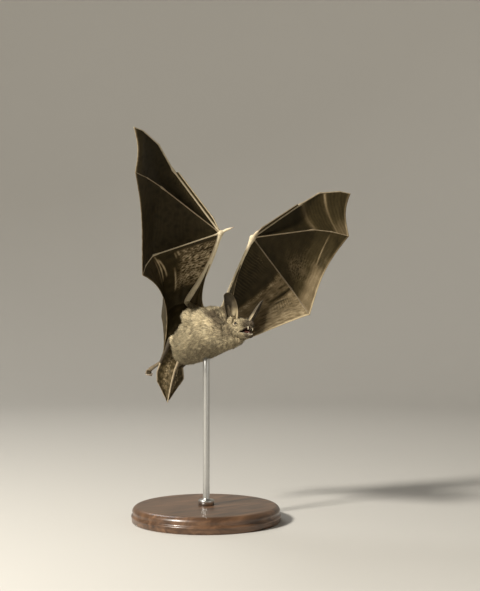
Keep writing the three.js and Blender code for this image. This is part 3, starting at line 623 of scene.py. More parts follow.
EYE_ALONG = unit(np.cross(np.array([0.1, 0.35, 1.0]), EYE_OUTWARD))  # from its front corner to its rear one
LID = {"radius": 1.42, "thick": 0.36, "out": 0.62}  # the ring of the eyelids
NAPE_END = 8.6  # the head's surface ends this far behind its middle, inside the neck
mouth_table = eased(MOUTH, reach=2)
jaw_table = eased([(a, 0, w, r, d) for a, w, r, d in JAW], reach=1.5)
floor_table = eased(JAW_FLOOR, reach=1.5)
lip_table = eased(LIP, reach=2)


def into_jaw(points):
    """Head coordinates to the lower jaw's own, with y backwards along it"""
    forward = -points[..., 1] - JAW_HINGE[0]
    up = points[..., 2] - JAW_HINGE[1]
    return np.stack([
        points[..., 0],
        -(forward * cos(jaw_open) - up * sin(jaw_open)),
        forward * sin(jaw_open) + up * cos(jaw_open)], -1)


def mirrored(points):
    """Points with their left side folded onto the right, so that a pair is one shape"""
    return np.stack([np.abs(points[..., 0]), points[..., 1], points[..., 2]], -1)


def mouth_distance(points):
    """Outside the hollow of the mouth, in head coordinates"""
    upper = loft_distance(points, mouth_table)
    lower = loft_distance(into_jaw(points), floor_table)
    return blend_union(upper, lower, 0.6)


def lids_distance(both):
    """Outside the ring of the lids around a folded pair of eyes"""
    offset = both - (EYE_PLACE + EYE_OUTWARD * LID["out"])
    height = offset @ EYE_OUTWARD
    lengthwise = offset @ EYE_ALONG
    flat = np.sqrt((lengthwise * 0.86) ** 2 + (offset @ np.cross(EYE_OUTWARD, EYE_ALONG) * 1.12) ** 2)
    return np.sqrt((flat - LID["radius"]) ** 2 + (height * 0.9) ** 2) - LID["thick"]


def head_distance(points, coat=False):
    """Outside the skin of the head, or outside the coat over it, in head coordinates"""
    both = mirrored(points)
    total = blend_union(loft_distance(points, skull_table), loft_distance(points, muzzle_table), 1.2)
    jaw = loft_distance(into_jaw(points), jaw_table)
    if coat:
        return blend_union(total, jaw, 1.4)
    forward = -points[..., 1]
    throat = looked_up(forward, THROAT_DEPTH) * step(-points[..., 2], 3, 9)
    total = total + (looked_up(forward, HEAD_DEPTH) + throat)
    total = blend_union(total, loft_distance(from_head(points), body_table) + 3.8, 2)
    total = blend_union(total, jaw + 0.25, 1.6)
    for centre, size, reach, paired, hollow in FACE_FORMS:
        form = ball_distance(both if paired else points, centre, size)
        total = (blend_cut if hollow else blend_union)(total, form, reach)
    total = blend_union(total, loft_distance(both, lip_table), 0.5)
    total = blend_cut(total, mouth_distance(points), 0.45)
    total = blend_union(total, lids_distance(both), 1.1)
    socket = np.linalg.norm(both - EYE_PLACE, axis=-1) - (EYE_RADIUS + 0.04)
    return np.maximum(blend_cut(total, socket, 0.15), points[..., 1] - NAPE_END)


# ---------------------------------------------------------------- skin: body and head

BARE, FACE_SKIN, MEMBRANE_SKIN, EAR_SKIN, PELT = range(5)  # material slots of the skin

BODY_BOX = ((-26, -34, -22), (26, 52, 37))
HEAD_BOX = ((-11, -17.5, -15), (11, 10, 9))
SHOULDER_PATCH = np.array([at(13, 8.5, 11.5), at(11, 12.5, 8.5), at(8.5, 15.5, 5)])
NECK_BAND = np.array([at(6.3, 15, 3), at(8, 14.8, -3.5), at(4.2, 20.5, -6)])
NOSE = (0, -15.6, -3.2)

body_points, body_quads = surface_net(body_distance, *BODY_BOX, 0.5)
head_points, head_quads = surface_net(head_distance, *HEAD_BOX, 0.2)
body_normals = gradient(body_distance, body_points)
head_normals = gradient(head_distance, head_points)


def polyline_distance(points, line):
    return np.min([limb_distance(points, a, b)[0] for a, b in zip(line, line[1:])], axis=0)


def elbow_bare(points):
    """1 at the elbows, where the fur gives way to bare skin, to 0 on the furred arm"""
    away = [np.linalg.norm(points - wing["elbow"], axis=-1) for wing in wings.values()]
    return 1 - step(np.minimum(*away), 4.5, 8.5)


def markings(points):
    """How pale the fur is, from the back to the belly, and how dark it is in a patch on each shoulder and
    in a band on the neck"""
    angle = np.arctan2(points[..., 2] - 1, np.abs(points[..., 0]) + 1e-6)
    pale = 1 - step(angle + 0.12 * waves(points, 9, 5), 1.12, 1.6)
    for wing in wings.values():
        near, share = limb_distance(points, wing["shoulder"], wing["elbow"])
        pale = np.maximum(pale, 0.8 * bump(near, 0, 9) * step(share, 0.2, 0.5))
    # The shoulder patch and the neck band: darker roots where the coat parts behind the head, with painted
    # shade there.
    shoulder = 1 - step(polyline_distance(mirrored(points), SHOULDER_PATCH) + waves(points, 4, 6), 3, 8)
    neck = bump(polyline_distance(mirrored(points), NECK_BAND) + waves(points, 5, 7), 0, 6)
    return pale * (1 - 0.85 * shoulder) * (1 - 0.6 * neck), np.maximum(shoulder, 0.4 * neck)


wet = 1 - step(mouth_distance(head_points), -0.05, 0.35)
# Dark on the nose pad, its own dark skin, and over the front of the muzzle, its dark skin with painted shade.
nose = np.maximum(spot(head_points, NOSE, 0, 2.2), 0.75 * step(-head_points[:, 1], 12.6, 14.6))
lid = spot(mirrored(head_points), EYE_PLACE + (0.5, -0.3, 0), 1.5, 0.6)
body_bare = elbow_bare(body_points)
# body_dark holds the shoulder patch and neck band: darker roots with painted shade.
body_pale, body_dark = markings(body_points)
skin_parts = [
    Part(body_points, body_quads, PELT,
         pale=np.maximum(body_pale, body_bare), tone=0.5 - 0.4 * body_dark, tip=0.9 * body_bare),
    Part(from_head(head_points), head_quads, FACE_SKIN, tone=0.2 + 0.5 * lid, wet=wet, dark=nose),
]

# ---------------------------------------------------------------- skin: limbs


def smooth_tube(stations, spacing=0.7, reach=2.5, **options):
    """A limb through [point, radius] stations, drawn out finely with rounded steps"""
    points = np.array([s[0] for s in stations])
    radii = np.array([s[1] for s in stations], float)
    lengths = np.concatenate([[0], np.cumsum(np.linalg.norm(np.diff(points, axis=0), axis=1))])
    fine = eased(np.column_stack([lengths, points, radii]), 0.25, reach)
    keep = np.unique(np.linspace(0, len(fine) - 1, max(int(lengths[-1] / spacing), 4)).astype(int))
    return tube(fine[keep, 1:4], fine[keep, 4], **options)


def stretch(start, end, table):
    """Stations from a table of [share of the way, radius]"""
    return [(lerp(start, end, share), radius) for share, radius in table]


def finger_stations(digit, joints):
    knuckle, shaft, tip = KNUCKLES[digit]
    stations = [(joints[0], knuckle[0])]
    for i in range(len(joints) - 1):
        thick = shaft + (tip - shaft) * i / len(joints)
        following = knuckle[i + 1] if i + 1 < len(knuckle) else tip
        bone = ((0.1, thick), (0.5, thick * 0.94), (0.9, thick), (1, following))
        stations += stretch(joints[i], joints[i + 1], bone)
    return stations


def forearm_girth(name, share):
    """A forearm's girth against the table: it comes up to the whole of it at the wrist"""
    return ARM_GIRTH[name] + (1 - ARM_GIRTH[name]) * step(share, 0.8, 1)


def limbs_of(name):
    """Every bare limb of a side: its stations, then how it is made"""
    wing, leg = wings[name], legs[name]
    wrist, thumb = wing["wrist"], wing["thumb"]
    for digit, joints in wing["digits"].items():
        yield finger_stations(digit, joints), dict(reach=2, tone=FINGER_TONE[name][digit])
    forearm = [(forearm_point(wing, share), radius * forearm_girth(name, share))
               for share, radius in FOREARM_RADII]
    yield forearm, dict(reach=5, sides=14, tone=0.9)
    knob = [(forearm_point(wing, 0.95), 1.7), (forearm_point(wing, 0.95 + 0.05 * 2 / 3), 2.3), (wrist, 2.5)]
    yield knob + stretch(wrist, thumb[1], THUMB_ROOT), dict(spacing=0.4, reach=1.2, sides=14, tone=0.85)
    yield (stretch(thumb[0], thumb[1], THUMB_RADII) + stretch(thumb[1], thumb[2], THUMB_END),
           dict(spacing=0.4, reach=1.5, tone=0.85))
    # The shin's tone is nearly black: painted shade.
    yield stretch(leg["knee"], leg["ankle"], SHIN_RADII), dict(reach=4, tone=0.02)
    yield list(zip((leg["ankle"], leg["heel"], leg["calcar"]), CALCAR_RADII)), dict(reach=4, tone=0.5)
    yield stretch(leg["ankle"], leg["toes"], SOLE_RADII), dict(spacing=0.4, sides=12, tone=0.2)


def foot_axes(name):
    ahead = unit(legs[name]["toes"] - legs[name]["ankle"])
    across = unit(np.cross(ahead, at(0, 0, 1)))
    return ahead, across, unit(np.cross(ahead, across))


def toe_point(name, number, forward, drop):
    ahead, across, down = foot_axes(name)
    fan = number - (TOES["count"] - 1) / 2
    sideways = across * fan * (TOES["pitch"] + TOES["splay"] * forward)
    return legs[name]["toes"] + sideways + ahead * forward + down * drop


def toe_hook(name, number):
    """The curve of a toe's claw"""
    start, knuckle, tip = (toe_point(name, number, *TOE[k][:2]) for k in (1, 2, 3))
    down = foot_axes(name)[2]
    return [lerp(start, knuckle, 0.8), knuckle + down * 1.6, lerp(knuckle, tip, 0.5) + down * 1.4, tip]


def thumb_hook(name):
    """The curve of a thumb's claw"""
    knuckle, tip = wings[name]["thumb"][1:]
    return [lerp(knuckle, tip, 0.42), lerp(knuckle, tip, 0.7) + at(0, 0.3, 0.35),
            lerp(knuckle, tip, 0.95) + at(0, 0.3, 0.3), tip + at(0, 0, -0.3)]


for name in SIDES:
    for stations, options in limbs_of(name):
        skin_parts.append(smooth_tube(stations, slot=BARE, **options))
skin_parts.append(smooth_tube(list(zip(tail_points, TAIL_RADII)), reach=6, slot=BARE, tone=0.55))

claw_parts = []
for name in SIDES:
    for number in range(TOES["count"]):
        toe = [(toe_point(name, number, forward, drop), radius) for forward, drop, radius in TOE[:3]]
        skin_parts.append(smooth_tube(toe, spacing=0.3, reach=1.5, sides=8, slot=BARE, tone=0.25))
        hook = bezier(toe_hook(name, number), np.linspace(0, 1, 10))
        claw_parts.append(tube(hook, np.linspace(0.5, 0.07, 10), sides=7, slot=0))
    hook = bezier(thumb_hook(name), np.linspace(0, 1, 12))
    claw_parts.append(tube(hook, np.linspace(0.68, 0.1, 12) * np.linspace(1, 0.8, 12), sides=9, slot=0))

# ---------------------------------------------------------------- skin: membranes

WEB = 0.3  # thickness of a membrane between its bones
HAND_GRID = (125, 48)  # rows and columns of points on each membrane
LEAD_GRID = (60, 8)
FORE_GRID = (70, 34)
FLANK_GRID = (112, 132)
TAIL_GRID = (100, 48)


def patch(surface, grid, pattern, bones=(True, True)):
    """A membrane from a function of (share, over) that gives points. The pattern gives its relief in
    millimetres and its tone; beside a bone the membrane thickens into the bone's own skin"""
    share, over = unit_grid(*(size for size in grid))
    middle = surface(share, over)
    relief, tone = pattern(share, over, middle)
    web = np.full(share.shape, WEB)
    for bone, column in zip(bones, (0, -1)):
        if bone:
            gap = np.linalg.norm(middle - middle[:, column][:, None], axis=-1)
            web = web + 0.15 * bump(gap, 0, 0.7)
            tone = tone + 0.12 * bump(gap, 0, 0.7)
    normal = unit(np.cross(np.gradient(middle, axis=0), np.gradient(middle, axis=1)))
    return shell(middle + normal * relief[..., None], web, MEMBRANE_SKIN, tone=tone)


def hand_panel(name, fore, aft, pull, pattern):
    """The membrane between two fingers"""
    side = wings[name]["side"]
    back = unit(np.cross(fore[-1] - fore[0], aft[-1] - aft[0])) * side

    def surface(share, over):
        hollow = np.sin(pi * over)
        reach = (0.02 + 0.98 * share) * (1 - pull * hollow * share)
        depth = BILLOW["hand"] * hollow * np.sin(pi * np.minimum(reach * 1.1, 1)) ** 0.7
        return lerp(along(fore, reach), along(aft, reach), over) + back * depth[..., None]

    return patch(surface, HAND_GRID, pattern)


def lead_panel(name):
    """The narrow membrane between the second and third fingers"""
    digits = wings[name]["digits"]
    third = digits["finger_3"][:2]

    def surface(share, over):
        reach = 0.1 + 0.9 * share
        return lerp(along(digits["finger_2"], reach), along(third, reach * 0.95), over)

    return patch(surface, LEAD_GRID, lambda share, over, place: (0 * share, 0.3 + 0 * share))


def fore_panel(name):
    """The membrane in front of the elbow, from the shoulder to the forearm"""
    wing = wings[name]
    root = wing["shoulder"] + at(2, 5, 7, wing["side"])
    merge, end = 0.7, 0.96
    edge = [root, lerp(root, wing["elbow"], 0.4), lerp(forearm_point(wing, 0.22), root, 0.2),
            forearm_point(wing, merge)]

    def surface(share, over):
        return lerp(forearm_point(wing, end * merge * share), bezier(edge, end * share), over)

    def pattern(share, over, place):
        ribs = np.sin(over * 26 + share * 7)
        # The pale line along the free edge (0.45 by over) is a painted highlight.
        tone = 0.34 + 0.06 * waves(place, 5, 31) + 0.06 * ribs + 0.45 * bump(over, 1, 0.05)
        return 0.14 * ribs * np.sin(pi * over), tone

    return patch(surface, FORE_GRID, pattern, (True, False))


def flank_panel(name, pattern):
    """The membrane between the fifth finger, the arm, the flank and the leg"""
    wing, leg = wings[name], legs[name]
    side, pull = wing["side"], TRAILING_PULL[name]
    tip = wing["digits"]["finger_5"][-1]
    top = wing["shoulder"] + at(1, -3, 3, side)
    ankle = leg["ankle"]
    trailing = [tip, tip + at(-44, -24, 6, side) * pull, ankle + at(9, 22, 9, side) * pull, ankle]
    flank = [top, at(13, -20, 6, side), at(11, -36, 2, side), leg["knee"], ankle]
    arm = [wing["wrist"], forearm_point(wing, 0.66), forearm_point(wing, 0.33), wing["elbow"], top]
    back = unit(at(0.75, -0.5, 0.3, side))

    def surface(share, over):
        share, over = 0.005 + 0.995 * share, 0.005 + 0.99 * over
        lead, trail = along(arm, over), bezier(trailing, over)
        outer, inner = along(wing["digits"]["finger_5"], share), along(flank, share)
        across = lerp(lead, trail, share) + lerp(outer, inner, over)
        corners = lerp(lerp(wing["wrist"], top, over), lerp(tip, ankle, over), share)
        swell = BILLOW["flank"] * np.sin(pi * share) * np.sin(pi * over)
        return across - corners + back * swell[..., None]

    return patch(surface, FLANK_GRID, pattern, (True, False))


def tail_panel(name):
    """Half of the membrane between the legs and the tail"""
    side, leg = wings[name]["side"], legs[name]
    outer = [leg[joint] for joint in ("knee", "ankle", "heel", "calcar")]
    outer.append(lerp(leg["calcar"], tail_points[-1], 0.85))
    hang = unit(at(0.2, 1, -0.5, side))

    def surface(share, over):
        middle = along(tail_points, 0.03 + 0.965 * share)
        edge = along(outer, 0.06 + 0.94 * share)
        return lerp(middle, edge, over) - 1.5 * np.sin(pi * over)[..., None] * hang

    def pattern(share, over, place):
        rows_of = np.sin(share * 88 + 4 * over + waves(place, 7, 41))
        grains = np.sin(over * (34 + 20 * (1 - share)) + 2 * np.round(share * 14))
        papillae = np.clip(rows_of, 0, 1) * (0.5 + 0.5 * grains) * np.sin(pi * over) ** 0.3
        papillae = papillae * (1 - step(share, 0.75, 0.95))
        glints = np.clip(crinkle(place, 1.3, 44), 0, 1) ** 2 * bump(over, 0.45, 0.14)
        glints = glints * step(share, 0.12, 0.25)
        # The pale line along the outer edge (0.25 by over) is a painted highlight, and the glints are painted
        # highlights.
        tone = 0.24 + 0.16 * papillae + 0.1 * waves(place, 3, 42) + 0.25 * bump(over, 1, 0.05) + 0.12 * share
        tone = tone + 0.9 * glints * (1 - step(share, 0.7, 0.9))
        return 0.16 * papillae + 0.12 * waves(place, 4, 43) + 0.2 * glints, tone

    return patch(surface, TAIL_GRID, pattern)


# Patterns on the membranes. Along a panel, share runs from the wrist or arm to the free edge, and over
# from its leading side to its trailing side.


def crinkle(place, size, seed):
    """Sharp small creases between smooth cushions"""
    return 1 - 2 * np.abs(waves(place, size, seed))


def streaks(share, over, long, across, seed):
    """Creases drawn out along a panel: how many there are along its share and across it"""
    return crinkle(np.stack([share * long, over * across], -1), 1, seed)


def fold_lines(share, over, lines):
    """Ridges along straight lines on a panel, tapering at both ends: from and to as (share, over), width,
    strength"""
    total = np.zeros(share.shape)
    for (s0, o0), (s1, o1), width, strength in lines:
        run = np.array([s1 - s0, o1 - o0])
        t = ((share - s0) * run[0] + (over - o0) * run[1]) / (run @ run)
        away = np.abs((share - s0) * run[1] - (over - o0) * run[0]) / np.linalg.norm(run)
        taper = np.clip(np.sin(pi * np.clip(t, 0, 1)), 0, 1) ** 0.5
        total = total + strength * np.exp(-(away / width) ** 2) * taper
    return total


def painted_edge_highlight(share):
    """A pale line along the free edge: a painted highlight"""
    return 0.45 * step(share, 0.975, 0.995)


def fore_hand_near(share, over, place):
    """Nearly black, with a pale stippled band along its leading edge and a pale tip"""
    band = bump(over, 0.12, 0.12) * step(share, 0.08, 0.2) * (1 - step(share, 0.5, 0.62))
    net = crinkle(place, 5, 51)
    tip = step(share, 0.86, 1)
    speckled = 0.6 + 0.4 * waves(place, 1.6, 52)
    tone = 0.06 + 0.22 * band * speckled + 0.03 * net + 0.26 * tip + painted_edge_highlight(share)
    return 0.05 * net + 0.05 * np.sin(share * 150) * band, tone


def aft_hand_near(share, over, place):
    """Nearly black, with faint threads across it"""
    net = crinkle(place, 6, 53)
    threads = np.sin(share * 120 + 3 * waves(place, 14, 54)) * np.sin(pi * over)
    tone = 0.08 + 0.035 * net + 0.03 * threads + 0.1 * step(share, 0.8, 1) + painted_edge_highlight(share)
    return 0.05 * net + 0.05 * threads, tone


def flank_near(share, over, place):
    """A crinkled patch inside the elbow, paler hairy membrane with painted light over it, pale folds beyond
    it with painted highlights on their ridges, and a gully darkened with painted shade
    """
    lit = (1 - step(share, 0.34, 0.5)) * (1 - step(over, 0.38, 0.52)) * step(over, 0.02, 0.06)
    crease = streaks(share, over, 8, 44, 55) * 0.5 + streaks(share, over, 22, 80, 56) * 0.5
    folds = fold_lines(share, over, [
        ((0.69, 0.0), (0.68, 0.32), 0.014, 0.7), ((0.67, 0.05), (0.6, 0.29), 0.012, 0.7),
        ((0.5, 0.2), (0.41, 0.48), 0.016, 0.5), ((0.45, 0.03), (0.42, 0.1), 0.012, 0.45),
        ((0.48, 0.04), (0.46, 0.12), 0.008, 0.45), ((0.72, 0.03), (0.78, 0.3), 0.012, 0.4)])
    gully = fold_lines(share, over, [((0.31, 0.42), (0.12, 0.64), 0.03, 1)])
    low = step(over, 0.5, 0.65)
    drawn = np.sin(over * 90 + 2 * waves(place, 9, 57))
    # Painted light on the patch (lit), painted highlights on the folds and painted shade in the gully.
    tone = 0.17 + 0.62 * lit * (0.68 + 0.75 * crease) + 1.5 * folds - 0.14 * gully
    tone = tone + 0.07 * low + 0.06 * waves(place, 6, 58) + 0.02 * drawn * low + painted_edge_highlight(share)
    relief = 0.3 * lit * crease + 0.5 * folds - 0.4 * gully + 0.07 * crinkle(place, 5, 59)
    return relief, tone


def fore_hand_far(share, over, place):
    """Two pale arcs and a lit corner near the tip"""
    slant = share - 0.1 * over
    arc = bump(slant, 0.565, 0.035)
    outer = bump(slant, 0.785, 0.014)
    threads = np.sin(slant * 210 + waves(place, 8, 61))
    beyond = step(slant, 0.54, 0.6)
    corner = step(share, 0.8, 0.97) * step(over, 0.45, 0.95)
    tone = 0.1 + 0.3 * arc + 0.5 * outer * (0.4 + 0.6 * bump(over, 0.1, 0.35)) + 0.05 * threads * beyond
    tone = tone + 0.32 * corner + 0.1 * beyond - 0.05 * bump(share, 0.5, 0.05) + painted_edge_highlight(share)
    relief = 0.3 * arc + 0.3 * outer + 0.06 * threads * beyond + 0.05 * crinkle(place, 4, 62)
    return relief, tone


def aft_hand_far(share, over, place):
    """Faint threads, a stippled patch and a lit trailing edge"""
    threads = np.sin(share * 190 + 2.5 * waves(place, 9, 63))
    crease = crinkle(place, 1.8, 64)
    stipple = bump(share, 0.66, 0.13) * bump(over, 0.66, 0.2)
    bright = step(share + 0.16 * over, 0.9, 0.99) * step(over, 0.42, 0.62)
    line = fold_lines(share, over, [((0.83, 0.03), (0.885, 0.5), 0.006, 0.6)])
    middle = bump(over, 0.5, 0.35) * step(share, 0.3, 0.6)
    tone = 0.16 + 0.13 * middle + 0.035 * threads * middle + 0.26 * stipple * (0.7 + 0.8 * crease)
    tone = tone + 0.36 * bright + line + 0.05 * waves(place, 7, 66) + painted_edge_highlight(share)
    relief = 0.05 * threads * middle + 0.12 * stipple * crease + 0.3 * line + 0.06 * crinkle(place, 5, 65)
    return relief, tone


def flank_far(share, over, place):
    """Fine ribs beside the forearm, then a creased field painted as lit, with folds darkened by painted shade
    and painted glints
    """
    ribs = np.sin(over * 2 * pi * 40 + 30 * share + 1.2 * waves(place, 9, 67))
    ribbed = (1 - step(share, 0.2, 0.36)) * step(share, 0.015, 0.05)
    ribbed = ribbed * step(over, 0.03, 0.1) * (1 - step(over, 0.5, 0.62))
    light = step(share + 0.15 * over + 0.02 * waves(place, 6, 68), 0.44, 0.52)
    crease = streaks(share, over, 34, 9, 69) * 0.7 + streaks(share, over, 60, 22, 72) * 0.4
    shaded_folds = fold_lines(share, over, [
        ((0.66, -0.02), (0.64, 0.3), 0.016, 1), ((0.6, 0.0), (0.57, 0.16), 0.01, 0.6),
        ((0.73, 0.12), (0.69, 0.3), 0.01, 0.6)])
    hatch = np.sin(over * 2 * pi * 44 - 70 * share) * bump(share, 0.75, 0.05) * bump(over, 0.2, 0.08)
    glints = np.clip(crinkle(place, 1.5, 70), 0, 1) ** 2
    glints = glints * (bump(share, 0.47, 0.035) + bump(share, 0.2, 0.06) * bump(over, 0.07, 0.05))
    # Painted light over the field beyond the ribs, painted shade in the folds and painted glints.
    tone = 0.12 + 0.13 * ribs * ribbed + 0.42 * light - 0.5 * shaded_folds + 0.16 * hatch + 0.4 * glints
    tone = tone + light * (0.1 * crease + 0.1 * step(share, 0.8, 0.95))
    tone = tone + 0.05 * waves(place, 6, 71) + painted_edge_highlight(share)
    relief = 0.18 * ribs * ribbed + 0.15 * light - 0.5 * shaded_folds + 0.15 * hatch
    return relief + 0.1 * crease * (0.3 + light), tone


PATTERNS = {
    "right": (fore_hand_near, aft_hand_near, flank_near),
    "left": (fore_hand_far, aft_hand_far, flank_far),
}
for name in SIDES:
    third, fourth, fifth = (wings[name]["digits"][digit] for digit in ("finger_3", "finger_4", "finger_5"))
    fore_hand, aft_hand, flank = PATTERNS[name]
    skin_parts += [
        hand_panel(name, third, fourth, SCALLOP["fore"], fore_hand),
        hand_panel(name, fourth, fifth, SCALLOP["aft"], aft_hand),
        lead_panel(name), fore_panel(name), flank_panel(name, flank), tail_panel(name)]

# ---------------------------------------------------------------- skin: ears


def ear_axes(name):
    side = SIDES[name]
    lean_out, lean_forward = (radians(v) for v in EAR["lean"][name])
    opening = radians(EAR["opening"][name])
    axis = unit(in_head(tan(lean_out), tan(lean_forward), 1, side) - head_origin)
    face = in_head(sin(opening), cos(opening), 0, side) - head_origin
    face = unit(face - axis * (face @ axis))
    across = np.cross(axis, face) * side
    root = in_head(*EAR["base"], side) - axis * EAR["sink"]
    return axis, face, across, root


def ear_parts(name):
    axis, face, across, root = ear_axes(name)

    def place(up, over, front):
        return root + up[..., None] * axis + over[..., None] * across + front[..., None] * face

    share, over = unit_grid(80, 45)
    half = EAR["width"] * EAR_SPREAD[name] * np.sin(pi * (0.2 + 0.765 * share)) ** 0.7
    half = half * np.sqrt(np.maximum(1 - (np.maximum(share - 0.86, 0) / 0.142) ** 2, 0))
    roll = EAR["roll"][0] + (EAR["roll"][1] - EAR["roll"][0]) * share
    lateral = 2 * over - 1  # -1 at the inner margin to 1 at the outer one
    fold = EAR_FOLD * step(lateral, 0.35, 1) * step(share, 0.05, 0.3) * (1 - step(share, 0.75, 1))
    bend = lateral * roll + fold
    stride = half * 2 / (over.shape[1] - 1)
    sideways = np.cumsum(np.cos(bend) * stride, axis=1)
    ahead = np.cumsum(np.sin(bend) * stride, axis=1)
    centre = over.shape[1] // 2
    sideways = sideways - sideways[:, centre:centre + 1]
    ahead = ahead - ahead[:, centre:centre + 1]
    ridges = 0.14 * np.sin(share * 2 * pi * 10) * step(share, 0.3, 0.45) * (1 - step(share, 0.85, 0.97))
    ridges = ridges * step(lateral, -0.2, 0.25) * (1 - step(lateral, 0.6, 0.8))
    belly = half / roll - EAR["set"]
    depth = 1.5 + (belly - 1.5) * EAR_BACK[name] + EAR_CURL[name] * share ** 2 + ridges
    leaf = place((EAR["length"] + EAR["sink"]) * share, sideways, ahead - depth)
    rim = np.minimum(np.minimum(over, 1 - over) * half * 2, (1 - share) * 18)
    thick = 0.34 + 0.08 * bump(rim, 0.3, 0.25) + 0.6 * (1 - step(share, 0.1, 0.35))
    # Paler on the inner part near the root: painted light. Darker in a band inside the outer margin: painted
    # shade in the hollow there.
    painted_light_root = (1 - step(share, 0.25, 0.55)) * (1 - step(lateral, 0.3, 0.6))
    tone = 0.34 + 0.16 * bump(rim, 0, 0.5) + 0.5 * painted_light_root
    tone = tone - 0.22 * bump(lateral, 0.55, 0.22) - 0.12 * bump(share, 0.9, 0.1)
    parts = [shell(leaf, thick, EAR_SKIN, tone=np.clip(tone, 0.03, 1))]
    share, over = unit_grid(40, 12)
    half = TRAGUS["width"] * (1.02 - share) ** 0.6
    cup = 0.35 * (2 * over - 1) ** 2
    spear = place((TRAGUS["length"] + EAR["sink"]) * share, (2 * over - 1) * half + TRAGUS["outward"],
                  TRAGUS["ahead"] + cup * half)
    parts.append(shell(spear, 0.4, EAR_SKIN, tone=0.3 + 0.15 * share))
    return parts


for name in SIDES:
    skin_parts.extend(ear_parts(name))

# ---------------------------------------------------------------- materials


def material(name, color, roughness, **sockets):
    made = bpy.data.materials.new(name)
    made.use_nodes = True
    shader = made.node_tree.nodes["Principled BSDF"]
    shader.inputs["Base Color"].default_value = (*color, 1)
    shader.inputs["Roughness"].default_value = roughness
    for key, value in sockets.items():
        shader.inputs[key.replace("_", " ")].default_value = value
    return made, made.node_tree, shader


def node(tree, kind, inputs=None, **settings):
    made = tree.nodes.new("ShaderNode" + kind)
    for key, value in settings.items():
        setattr(made, key, value)
    for key, value in (inputs or {}).items():
        if isinstance(value, bpy.types.NodeSocket):
            tree.links.new(value, made.inputs[key])
        else:
            made.inputs[key].default_value = value
    return made


def attribute(tree, name):
    return node(tree, "Attribute", attribute_name=name).outputs["Fac"]


def noise(tree, scale, detail=2.0, coordinates=None, **inputs):
    """Noise in object space, whose scale is in features per metre"""
    vector = coordinates or node(tree, "TexCoord").outputs["Object"]
    made = node(tree, "TexNoise", {"Vector": vector, "Scale": scale, "Detail": detail, **inputs})
    return made.outputs["Fac"]


def mix(tree, factor, a, b, kind="MIX"):
    made = node(tree, "Mix", {0: factor}, data_type="RGBA", blend_type=kind)
    for key, value in ((6, a), (7, b)):
        if isinstance(value, bpy.types.NodeSocket):
            tree.links.new(value, made.inputs[key])
        else:
            made.inputs[key].default_value = (*value, 1)
    return made.outputs[2]


def ramp(tree, value, stops):
    made = node(tree, "ValToRGB", {"Fac": value})
    elements = made.color_ramp.elements
    while len(elements) < len(stops):
        elements.new(0.5)
    for element, (place, color) in zip(elements, stops):
        element.position = place
        element.color = (*color, 1)
    return made.outputs["Color"]


def add(tree, a, b):
    return node(tree, "Math", {0: a, 1: b}, operation="ADD").outputs[0]


def subtract(tree, a, b):
    return node(tree, "Math", {0: a, 1: b}, operation="SUBTRACT").outputs[0]


def multiply(tree, a, b):
    return node(tree, "Math", {0: a, 1: b}, operation="MULTIPLY").outputs[0]


def unevenness(tree, height, amount):
    """Noise about zero"""
    return multiply(tree, subtract(tree, height, 0.5), amount)


def bumped(tree, shader, height, strength, distance):
    made = node(tree, "Bump", {"Height": height, "Strength": strength, "Distance": distance})
    tree.links.new(made.outputs["Normal"], shader.inputs["Normal"])


def paint(tree, shader, color):
    tree.links.new(color, shader.inputs["Base Color"])


def mottled(name, color, roughness, scale, low, high, **sockets):
    """A material whose colour drifts between two: also its node tree, its shader and its noise"""
    made, tree, shader = material(name, color, roughness, **sockets)
    speck = noise(tree, scale)
    paint(tree, shader, mix(tree, speck, low, high))
    return made, tree, shader, speck


def toned(name, color, roughness, scale, uneven, stops, grain, depth):
    """Skin whose colour follows the tone on its points, a little cloudy, with a fine grain"""
    made, tree, shader = material(name, color, roughness)
    cloud = unevenness(tree, noise(tree, scale, 3.0), uneven)
    paint(tree, shader, ramp(tree, add(tree, attribute(tree, "tone"), cloud), stops))
    bumped(tree, shader, noise(tree, grain), 0.4, depth)
    return made


def membrane_material():
    made, tree, shader = material("membrane", (0.06, 0.045, 0.025), 0.5,
                                  Specular_IOR_Level=0.22, Specular_Tint=(1, 0.84, 0.58, 1))
    cloud, fine = noise(tree, 160, 4.0), noise(tree, 900, 3.0)
    uneven = add(tree, unevenness(tree, cloud, 0.16), unevenness(tree, fine, 0.14))
    paint(tree, shader, ramp(tree, add(tree, attribute(tree, "tone"), uneven), [
        (0.0, (0.007, 0.005, 0.0015)), (0.3, (0.04, 0.029, 0.012)), (0.6, (0.15, 0.11, 0.06)),
        (1.0, (0.46, 0.37, 0.23))]))
    tree.links.new(add(tree, 0.36, multiply(tree, fine, 0.3)), shader.inputs["Roughness"])
    bumped(tree, shader, fine, 0.6, 0.00025)
    return made


def face_material():
    made, tree, shader = material("face_skin", (0.3, 0.22, 0.14), 0.6)
    skin_tone = mix(tree, noise(tree, 500, 3.0), (0.24, 0.17, 0.10), (0.38, 0.28, 0.18))
    pale = mix(tree, attribute(tree, "tone"), skin_tone, (0.8, 0.67, 0.44))
    # Dark where marked: the nose's own dark skin, with painted shade on the front of the muzzle.
    dark = mix(tree, attribute(tree, "dark"), pale, (0.055, 0.038, 0.022))
    moist = attribute(tree, "wet")
    paint(tree, shader, mix(tree, moist, dark, (0.05, 0.012, 0.008)))
    tree.links.new(subtract(tree, 0.65, multiply(tree, moist, 0.4)), shader.inputs["Roughness"])
    bumped(tree, shader, noise(tree, 3000), 0.4, 0.00015)
    return made


BACK_FUR = ((0.03, 0.021, 0.011), (0.19, 0.14, 0.082))  # at the root and at the tip
BELLY_FUR = ((0.064, 0.047, 0.025), (0.61, 0.51, 0.325))


